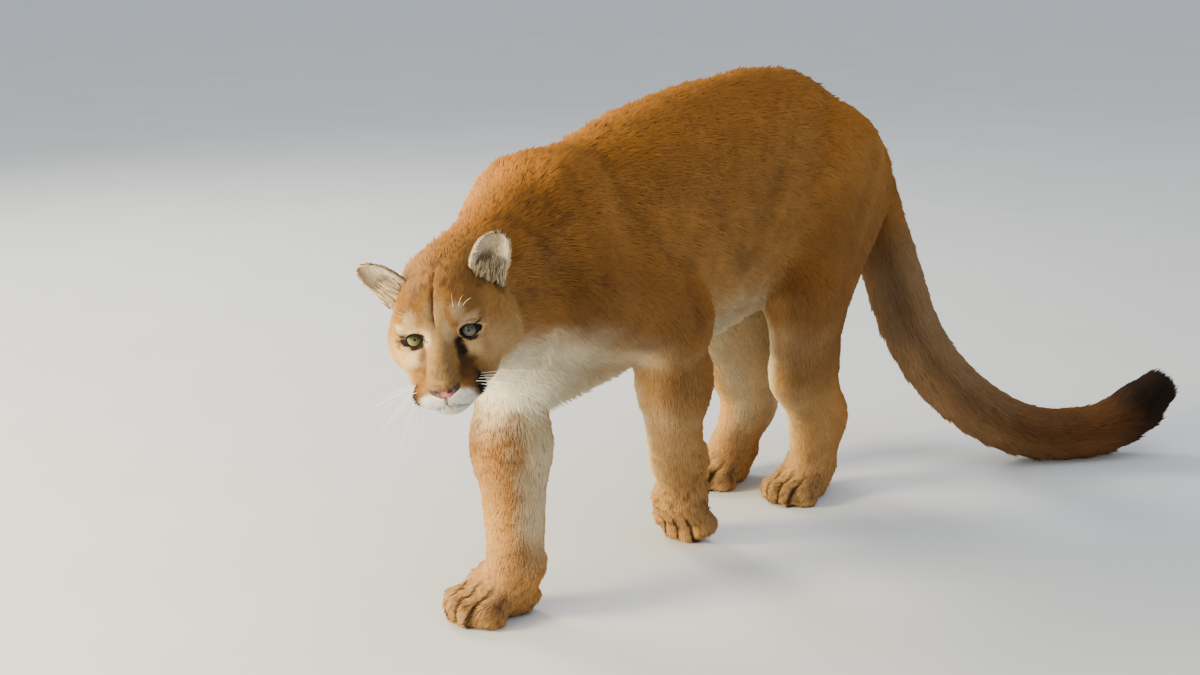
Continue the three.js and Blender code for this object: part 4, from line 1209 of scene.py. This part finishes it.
uv_all = skin_uv(v, t).reshape(-1, 3, 2)
used, faces = compact(t[~pad])
skin = mesh_object("skin", v[used], faces, skin_material, colours[used] * 0.8,
                   uv_corner=uv_all[~pad].reshape(-1, 2))
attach(skin, "root")
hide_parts(*[n for n in FLESH_NODES if n != "nose"])
used, faces = compact(t[pad])
h = to_head(v[used])
pad_colour = over(plain(len(used), srgb(118, 62, 54)), PINK, spot(h, (2, -131, -26), (6, 10, 5), 0.9))
pad_edge = srgb(52, 28, 24)
pad_colour = over(pad_colour, pad_edge, smooth(h[:, 2] + 2 * noise(h, 5, 61), -22.0, -19.0))
pad_colour = over(pad_colour, pad_edge, smooth(np.abs(h[:, 0]), 10, 15))
# painted shade inside the nostrils
hole = NOSTRIL.distance(h * np.where(h[:, :1] < 0, (-1, 1, 1), (1, 1, 1)))
pad_colour = over(pad_colour, srgb(26, 12, 12), smooth(-hole, -1.6, 0.4))
nose = mesh_object("nose_pad", v[used], faces, nose_material, pad_colour,
                   uv_corner=uv_all[pad].reshape(-1, 2))
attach(nose, "root")
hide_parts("nose")

# The camera
AZIMUTH, ELEVATION, DISTANCE = math.radians(41), math.radians(14), 2700.0
AIM = np.array([0, -246, 357.0])
back = np.array([math.sin(AZIMUTH) * math.cos(ELEVATION), -math.cos(AZIMUTH) * math.cos(ELEVATION),
                 math.sin(ELEVATION)])
right = np.array([math.cos(AZIMUTH), math.sin(AZIMUTH), 0])
eye_point = AIM + back * DISTANCE
camera = link("camera", bpy.data.cameras.new("camera"))
camera.data.lens = 53.64
camera.data.sensor_width = 36.0
camera.data.clip_end = 100.0
m = Matrix(np.column_stack([right, np.cross(back, right), back]).tolist()).to_4x4()
m.translation = to_world(eye_point).tolist()
camera.matrix_world = m
bpy.context.scene.camera = camera


def grid_quads(rows, cols, across):
    """Faces between rows of points; they close into a ring where each row has as many faces as points."""
    i, j = np.meshgrid(np.arange(rows), np.arange(across), indexing="ij")
    k = (j + 1) % cols
    return np.stack([i * cols + j, (i + 1) * cols + j, (i + 1) * cols + k, i * cols + k], -1).reshape(-1, 4)


def halves(q):
    return np.vstack([q[:, [0, 1, 2]], q[:, [0, 2, 3]]])


# Eyes: the iris and the pupil in degrees from the axis
IRIS = 32.0
PUPIL = 5.4


def eyeball(name, side, tint):
    """An eye with its iris in the middle of the opening, darker above than below as painted shadow of the
    upper lid.
    """
    centre = in_head(np.array(EYE_CENTRE) * (side, 1, 1))
    axis = head_axes @ (unit(GAZE[side]) * (side, 1, 1))
    across = unit(np.cross(axis, (0, 0, 1)))
    up = np.cross(across, axis)
    theta = np.r_[0, np.arange(1.5, 62, 1.5), np.arange(66, 180, 6), 180]
    seg = 72
    a = np.arange(seg) * math.tau / seg
    th, ph = np.meshgrid(np.radians(theta), a, indexing="ij")
    bulge = 1.1 * np.clip(1 - (np.degrees(th) / 38) ** 2, 0, 1)
    r = EYE_RADIUS + bulge - 0.1
    p = centre + r[..., None] * (np.cos(th)[..., None] * axis + np.sin(th)[..., None]
                                 * (np.cos(ph)[..., None] * across + np.sin(ph)[..., None] * up))
    deg = np.degrees(th).ravel()
    flat = np.column_stack([np.cos(ph).ravel() * 9, np.sin(ph).ravel() * 9, deg / 22])
    streak = 0.5 * noise(flat, 1.0, 21 + side) + 0.5 * noise(flat * (1, 1, 0.25), 0.45, 22)
    # the iris is darker above: painted shadow of the upper lid
    lower, upper = srgb(*tint[0]), srgb(*tint[1])
    c = over(plain(len(deg), lower), upper, smooth(deg * np.sin(ph).ravel() + 5 * streak, -12, 16))
    c = c * (1 + 0.3 * streak)[:, None] * (1 + 0.25 * smooth(deg, 12, 24))[:, None]
    c = over(c, BLACK * 0.5, smooth(deg, IRIS - 3.5, IRIS - 0.5))
    c = over(c, BLACK * 0.4, smooth(-deg, -PUPIL - 1.0, -PUPIL + 0.8))
    v = p.reshape(-1, 3)
    t = halves(grid_quads(len(theta) - 1, seg, seg))
    area = np.linalg.norm(face_cross(v, t), axis=1)
    ob = mesh_object(name, v, t[area > 1e-6], eye_material, np.clip(c, 0.001, 1))
    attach(ob, "root")
    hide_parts(name)


# the left iris is greyer and darker than the right; its darker tone is painted shade, as that eye lies in
# shade
eyeball("eye_left", 1, ((86, 86, 76), (46, 41, 37)))
eyeball("eye_right", -1, ((128, 122, 68), (58, 57, 40)))

# Ears
EAR_HEIGHT, EAR_WIDTH, EAR_THICKNESS, EAR_CUP, EAR_WIDEST = 80.0, 50.0, 3.2, 17.0, 0.36
EAR_BASE, EAR_FACING = (56, 30, 36), (0.35, -0.9, 0.1)
EAR_TIP = {1: (84, 20, 104), -1: (88, 20, 96)}
EAR_SIZE = {1: 1.0, -1: 0.93}


def ear_axes(side):
    flip = np.array([side, 1, 1])
    base, tip, facing = (vec(c) * flip for c in (EAR_BASE, EAR_TIP[side], EAR_FACING))
    up = unit(tip - base)
    facing = unit(facing - facing @ up * up)
    across = -np.cross(facing, up)
    return base, np.column_stack([across, -facing, up])


def ear_point(u, v, layer):
    """A point of an ear in its own frame. u runs across from -1 to 1, v up from 0 to 1."""
    past = np.maximum(v - EAR_WIDEST, 0) / (1 - EAR_WIDEST)
    full = np.sqrt(np.maximum(1 - past ** 2.3, 0.004)) * (0.88 + 0.12 * np.clip(v / EAR_WIDEST, -1, 1))
    cup = EAR_CUP * full * (1 - 0.35 * v)
    thick = EAR_THICKNESS * (1 - 0.4 * v) * layer
    bend = u * math.pi / 2.1
    x = EAR_WIDTH / 2 * full * np.sin(bend) + thick * 0.6 * np.sin(bend)
    y = cup * np.cos(bend) - 6 * v * v + thick * np.maximum(np.cos(bend), 0.3)
    return np.stack([x, y, v * EAR_HEIGHT], -1)


def ear_mesh(side):
    """Front and back sheets of an ear with a rounded rim, and each vertex's u, v and layer."""
    across, high = 40, 40
    u, s = np.meshgrid(np.linspace(-1, 1, across + 1), np.linspace(0, 1, high + 1), indexing="ij")
    s = 1.14 * np.sin(s * math.pi / 2) ** 0.9 - 0.14
    sheets = [ear_point(u, s, layer) for layer in (-0.5, 0.5)]
    base, axes = ear_axes(side)
    v = np.vstack([p.reshape(-1, 3) for p in sheets]) * EAR_SIZE[side]
    v = in_head(v @ axes.T + base)
    w = high + 1
    q = grid_quads(across, w, high)
    n = (across + 1) * w
    # the rim joins the sheets down both edges and over the top
    near = np.arange(high)
    far = across * w + near
    top = np.arange(across) * w + high
    t = halves(np.vstack([
        q, q[:, ::-1] + n,
        np.stack([near, near + 1, near + 1 + n, near + n], -1),
        np.stack([far, far + n, far + 1 + n, far + 1], -1),
        np.stack([top, top + w, top + w + n, top + n], -1)]))
    info = np.column_stack([np.tile(u.ravel(), 2), np.tile(s.ravel(), 2), np.repeat([-1, 1], n)])
    return v, t, info


def ear_colour(p, info):
    u, s, layer = info.T
    rough = 0.6 * noise(p, 9, 31) + 0.4 * noise(p, 4, 32)
    inside = over(plain(len(p), srgb(224, 206, 172)), srgb(112, 84, 62),
                  0.8 * smooth(-np.abs(u + 0.1) - 0.25 * rough, -0.55, -0.15) * smooth(-s, -0.62, -0.3))
    inside = over(inside, srgb(206, 180, 142), 0.5 * smooth(s, 0.7, 1.0))
    outside = over(plain(len(p), srgb(124, 88, 52)), BLACK, 0.9 * smooth(-s + 0.2 * rough, -0.66, -0.3))
    edge = smooth(np.maximum(np.abs(u), smooth(s, 0.86, 1.0)), 0.8, 0.98)
    outside = over(outside, srgb(214, 184, 140), edge)
    return np.where(layer[:, None] < 0, inside, outside)


def ear_uv(info):
    across = 0.02 + 0.46 * (info[:, 0] + 1) / 2 + 0.5 * (info[:, 2] > 0)
    return np.column_stack([across, 0.02 + 0.96 * info[:, 1]])


ears = {}
for side, name in ((1, "ear_left"), (-1, "ear_right")):
    ev, et, info = ear_mesh(side)
    ears[name] = (ev, et, info, side)
    ob = mesh_object(name, ev, et, skin_material, ear_colour(ev, info), uv=ear_uv(info))
    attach(ob, "root")
    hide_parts(name)

# Tufts
rng = np.random.default_rng(7)


def scatter(v, t, spacing, where):
    """Points on the faces, one to each small box of space, with their faces and shares of the corners."""
    a = np.linalg.norm(face_cross(v, t), axis=1) / 2
    mean = spacing[t].mean(1)
    amount = np.where(where, a / mean ** 2, 0) * 3.0
    run = np.cumsum(amount)
    pick = np.searchsorted(run, np.arange(rng.random(), run[-1], 1.0))
    r1, r2 = np.sqrt(rng.random(len(pick))), rng.random(len(pick))
    share = np.column_stack([1 - r1, r1 * (1 - r2), r1 * r2])
    p = (v[t[pick]] * share[:, :, None]).sum(1)
    box = np.floor(p / mean[pick][:, None] / 0.98).astype(np.int64) + 4000
    _, first = np.unique(box[:, 0] + 10000 * box[:, 1] + 100000000 * box[:, 2], return_index=True)
    return p[first], pick[first], share[first]


def jittered(centre, spread, low, high, count):
    return rng.normal(centre, spread, count).clip(low, high)


def tufts(name, p, n, lie, length, width, height, colour, uv, slot="coat", relief=0.45):
    """Thin four-sided tufts with a ridge, rooted a little under the skin and lying along it."""
    count = len(p)
    side = np.cross(lie, n)
    a = p - side * (width / 2)[:, None] - n * 1.0
    b = p + side * (width / 2)[:, None] - n * 1.0
    ridge = p + lie * (length * 0.42)[:, None] + n * (height * 0.72 + width * 0.18)[:, None]
    tip = p + lie * length[:, None] + n * height[:, None]
    v = np.stack([a, b, ridge, tip], 1).reshape(-1, 3)
    v[:, 2] = np.maximum(v[:, 2], 0.6)
    k = np.arange(count)[:, None] * 4
    faces = np.array([(0, 1, 2), (0, 2, 3), (2, 1, 3), (1, 0, 3)])
    t = (k[:, :, None] + faces[None]).reshape(-1, 3)
    tone = np.array([0.66, 0.66, 0.98, 1.18])
    c = (colour[:, None, :] * tone[None, :, None]).reshape(-1, 3)
    corner = np.array([(-0.0015, -0.0015), (0.0015, -0.0015), (0, 0), (0, 0.0015)])
    uv4 = (np.clip(uv, 0.002, 0.998)[:, None, :] + corner[None]).reshape(-1, 2)
    # the shading follows the skin, a little rounded across each tuft
    round_off = side * np.broadcast_to(relief, count)[:, None]
    shading = unit(np.stack([n - round_off, n + round_off, n, n + 0.25 * lie], 1)).reshape(-1, 3)
    ob = mesh_object(name, v, t, fur_material, np.clip(c, 0.002, 0.95), uv=uv4, shading=shading)
    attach(ob, "root")


def lay(lie, n, p, swirl):
    """The lie turned a little by slow and fine noise, so that tufts gather in locks."""
    side = np.cross(lie, n)
    angle = swirl * (0.55 * noise(p, 26, 11) + 0.5 * noise(p, 9, 12)) + rng.normal(0, 0.1, len(p))
    return unit(lie * np.cos(angle)[:, None] + side * np.sin(angle)[:, None])


FAR_OFF = 99.0
eye_gap = np.full(len(v), FAR_OFF)
face_part = to_head(v)[:, 1] < 30
hv, right_side = halved(v[face_part])
qv = in_opening(hv, right_side)
by_eye = (qv[:, 1] < 4) & (np.linalg.norm(qv, axis=1) < 34)
eye_gap[face_part] = np.where(by_eye, opening_distance(qv), FAR_OFF)
bare = (eye_gap < 1.6) | (nose_share(v) > 0.3)
line_gap = np.full(len(v), FAR_OFF)
line_gap[face_part] = np.minimum(polyline_distance(hv, mouth_line), polyline_distance(hv, cleft))
bare |= line_gap < 1.7

wd = dict(zip(NAMES, weights.T))
paw_share = sum(wd["paw_" + k] for k in paws)
mz = halved(v)[0]
head_share = wd["head"]
face_size = mix(0.42, 0.9, smooth(mz[:, 1], -95, 30))
size = 1 - head_share * (1 - face_size) - 0.34 * paw_share
size *= 1 - 0.22 * (sum(wd["leg_" + k] for k in legs)) * smooth(-v[:, 2], -330, -160)
size = np.clip(size + 0.25 * wd["tail"], 0.3, 1.4) * mix(0.5, 1.0, smooth(eye_gap, 1, 12))
patch = spot(mz, (39, -98, -31), (13, 21, 15), 0.8) * head_share
ruff = spot(mz, (64, 16, -30), (26, 40, 34), 1.0) * head_share
body_share = wd["trunk"] + wd["neck"]
long_hair = smooth(-normals[:, 2], 0.2, 0.8) * smooth(-v[:, 2], -440, -380)
long_hair = long_hair * smooth(v[:, 2], 230, 260) * body_share
fluff = 4.0 * long_hair + 3.5 * patch + 2.5 * ruff + 2.4 * paw_share
SPACING = 2.6
rugged = smooth(normals[:, 2], 0.1, 0.6) * body_share + 0.8 * paw_share
spacing = SPACING * size ** 0.8
length = 17.0 * size + 8.0 * wd["tail"] + 5.0 * patch + 6.0 * ruff
length += (12 + 20 * smooth(-v[:, 1], 200, 300)) * long_hair
face_region = weights[t].sum(1).argmax(1)
LIMIT = 46000
total = 0


def reader(t, pick, share):
    """A function that gives the values of the corners at the scattered points."""
    def at(values):
        s = share if values.ndim == 1 else share[:, :, None]
        return (values[t[pick]] * s).sum(1)
    return at


def along_skin(flow, n):
    return unit(flow - (flow * n).sum(1, keepdims=True) * n)


# the soles are bare
sole = (v[t][:, :, 2].mean(1) < 4) & (normals[t][:, :, 2].mean(1) < -0.8)
coated = ~bare[t].any(1) & ~sole
for k, name in enumerate(NAMES):
    where = (face_region == k) & coated
    if not where.any():
        continue
    p, pick, share = scatter(v, t, spacing, where)
    at = reader(t, pick, share)
    n = unit(at(normals))
    flow = along_skin(at(lie), n)
    flow = lay(flow, n, p, 0.35 if name in ("trunk", "neck", "head") else 0.15)
    long = at(length) * jittered(1, 0.16, 0.6, 1.5, len(p))
    depth = at(depths) + at(fluff)
    ripple = (0.2 * noise(p, 17, 13) + 0.18 * noise(p, 7, 14)) * (0.15 if name == "tail" else 1)
    coarse = 1 + 1.2 * at(rugged)
    rise = depth * (0.72 + ripple * coarse)
    rise = rise * (1 + (rng.normal(0, 0.14, len(p)) * coarse).clip(-0.5, 0.6))
    on_paw = at(paw_share)
    relief = 0.45 + 0.45 * on_paw
    wide = SPACING * 0.84 * at(size) ** 0.8 * jittered(1, 0.15, 0.6, 1.5, len(p))
    colour = coat_colour(p, n, at(weights))
    colour = colour * (1 + rng.normal(0, 0.07, len(p)) * (1 + 1.2 * on_paw)).clip(0.6, 1.4)[:, None]
    uv = unwrap(p, name)
    parts = max(1, math.ceil(len(p) / LIMIT))
    order = np.argsort(uv[:, 0], kind="stable")
    for i, part in enumerate(np.array_split(order, parts)):
        piece_uv = uv[part].copy()
        low, high = piece_uv.min(0), piece_uv.max(0)
        piece_uv = 0.01 + 0.98 * (piece_uv - low) / np.maximum(high - low, 1e-6)
        tufts(f"fur_{name}_{i + 1}", *(values[part] for values in (p, n, flow, long, wide, rise, colour)),
              piece_uv, slot="tail_coat" if name == "tail" else "coat", relief=relief[part])
    total += len(p)
print("tufts", total)

# tufts on both sides of the ears
for name, (ev, et, info, side) in ears.items():
    p, pick, share = scatter(ev, et, np.full(len(ev), 2.0), np.ones(len(et), bool))
    at = reader(et, pick, share)
    base, axes = ear_axes(side)
    up = unit(in_head(axes[:, 2]) - in_head((0, 0, 0)))
    n = unit(at(normals_of(ev, et)))
    info_at = at(info.astype(float))
    info_at[:, 2] = np.where(info_at[:, 2] < 0, -1, 1)
    across = unit(in_head(axes[:, 0]) - in_head((0, 0, 0)))
    flow = up[None] + np.where(info_at[:, 2:3] < 0, -0.4, 0.4) * (across[None] * info_at[:, :1])
    flow = lay(along_skin(flow, n), n, p, 0.5)
    count = len(p)
    inner = info_at[:, 2] < 0
    long = np.where(inner, 13 - 8 * info_at[:, 1], 5.0) * jittered(1, 0.2, 0.5, 1.6, count)
    rise = np.where(inner, 2.4, 1.6) * jittered(1, 0.3, 0.3, 2, count)
    wide = np.full(count, 1.7)
    colour = ear_colour(p, info_at) * jittered(1, 0.09, 0.7, 1.3, count)[:, None]
    tufts("fur_" + name, p, n, flow, long, wide, rise, colour, ear_uv(info_at), slot="pale_coat")

# loose tufts that close the foot of each ear
for name, (ev, et, info, side) in ears.items():
    count = 620
    base, axes = ear_axes(side)
    place = rng.uniform((-22, -10, -4), (22, 12, 16), (count, 3)) * EAR_SIZE[side]
    place[:, 1] += np.where(place[:, 0] * side < 4, -6.0, 0.0)
    p = in_head(place @ axes.T + base)
    lean = rng.normal(0, 1, (count, 3)) * (0.20, 0.10, 0.10)
    lean = lean + np.column_stack([-place[:, 0] * 0.012, np.full(count, 0.1), np.ones(count)])
    flow = unit(lean) @ axes.T @ head_axes.T
    n = unit((np.array([0.0, -1.0, 0.25]) @ axes.T @ head_axes.T)[None] + np.zeros((count, 3)))
    n = along_skin(n, flow)
    long = rng.uniform(15, 30, count)
    shade = smooth(rng.random(count), 0.15, 0.9)
    colour = over(plain(count, srgb(150, 116, 80)), srgb(232, 214, 180), shade)
    uv = 0.02 + 0.46 * (place - (-22, -12, -4))[:, [0, 2]] / (44, 24)
    tufts("fur_" + name + "_base", p, n, flow, long, np.full(count, 1.6), np.full(count, 1.5), colour, uv,
          slot="pale_coat")

# Whiskers
def whisker(root, direction, length, droop, radius=0.55, steps=10):
    """A tapered hair in the head's frame that bends down as it goes."""
    s = np.linspace(0, 1, steps + 1)[:, None]
    line = vec(root) + unit(direction) * length * s + np.array([0, 0, -1.0]) * droop * s ** 2
    tangent = unit(np.gradient(line, axis=0))
    a = unit(np.cross(tangent, (0.3, 0.2, 1)))
    b = np.cross(tangent, a)
    sides = 5
    ang = np.arange(sides) * math.tau / sides
    r = radius * (1 - 0.88 * s)
    around = np.cos(ang)[None, :, None] * a[:, None] + np.sin(ang)[None, :, None] * b[:, None]
    v = in_head((line[:, None] + r[:, :, None] * around).reshape(-1, 3))
    t = halves(grid_quads(steps, sides, sides)[:, [0, 3, 2, 1]])
    last = steps * sides
    caps = [(0, m + 1, m) for m in range(1, sides - 1)]
    caps += [(last, last + m, last + m + 1) for m in range(1, sides - 1)]
    return v, np.vstack([t, caps])


parts_v, parts_t, base_index = [], [], 0


def add_whisker(side, start, direction, length, droop, radius):
    """Adds a hair that grows from the skin met on the way from a point inside the left half of the head."""
    global base_index
    flip = np.array([side, 1, 1])
    way = unit(direction)
    root = surface_from(start, (1, 0, 0) if start[1] < -80 else (0.1, -0.8, 0.55))
    v, t = whisker((root - way * 3.0) * flip, way * flip, length, droop, radius)
    parts_v.append(v)
    parts_t.append((t if side > 0 else t[:, ::-1]) + base_index)
    base_index += len(v)


# on the right side they fan down, on the left they stand out
for side, first, fan, forward in ((1, 2.0, 9.0, 0.30), (-1, 4.0, 21.0, 0.12)):
    for row in range(4):
        for column in range(4):
            a = math.radians(first + fan * row + 3 * column + 3 * rng.normal())
            way = (math.cos(a), 0.22 * column - forward, -math.sin(a))
            reach = 88 + 7 * column - 6 * row + 6 * rng.normal()
            start = (4, -110 + column * 6 + row * 1.5, -26 - row * 5.4)
            add_whisker(side, start, way, reach, 20 + 8 * rng.random(), 0.3 if side > 0 else 0.5)
    for j in range(3):
        add_whisker(side, (24 + 6 * j, -40, 40), (0.2 + 0.25 * j, -0.5, 0.95), 46 - 6 * j, 10, 0.28)
whiskers = mesh_object("whiskers", np.vstack(parts_v), np.vstack(parts_t), whisker_material)
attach(whiskers, "root")

# Floor, backdrop and light
floor_material = ramped_material("floor", 0.7, 0.3, 3.0, (0.62, 0.63, 0.65, 1), (0.70, 0.71, 0.73, 1))
me = bpy.data.meshes.new("floor")
half = 30.0
me.from_pydata([(-half, -half, 0), (half, -half, 0), (half, half, 0), (-half, half, 0)], [], [(0, 1, 2, 3)])
me.materials.append(floor_material)
floor = link("floor", me)

world = bpy.data.worlds.new("studio")
bpy.context.scene.world = world
world.use_nodes = True
background = world.node_tree.nodes["Background"]
background.inputs["Color"].default_value = (0.86, 0.93, 1.0, 1)
background.inputs["Strength"].default_value = 0.8


def area_light(name, direction, distance, size, power, colour):
    """A square light that shines on the middle of the animal from a direction in the camera's terms."""
    data = bpy.data.lights.new(name, "AREA")
    data.energy, data.size, data.color = power, size, colour
    ob = link(name, data)
    r, u, b = direction
    aim = to_world((0, -100, 420))
    d = unit(right * r + np.array([0, 0, 1.0]) * u + unit(back * (1, 1, 0)) * b)
    x = unit(np.cross((0, 0, 1), d))
    m = Matrix(np.column_stack([x, np.cross(d, x), d]).tolist()).to_4x4()
    m.translation = (aim + d * distance).tolist()
    ob.matrix_world = m


area_light("key", (-1.0, 0.40, 0.32), 4.0, 1.2, 320.0, (1.0, 0.87, 0.48))
area_light("top", (0.3, 1.0, 0.2), 4.5, 3.0, 50.0, (0.97, 0.98, 1.0))
area_light("bounce", (-0.7, 0.03, 0.7), 3.5, 1.8, 165.0, (1.0, 0.92, 0.74))
area_light("rim", (-0.7, 0.7, -0.9), 4.0, 1.2, 110.0, (1.0, 0.95, 0.86))
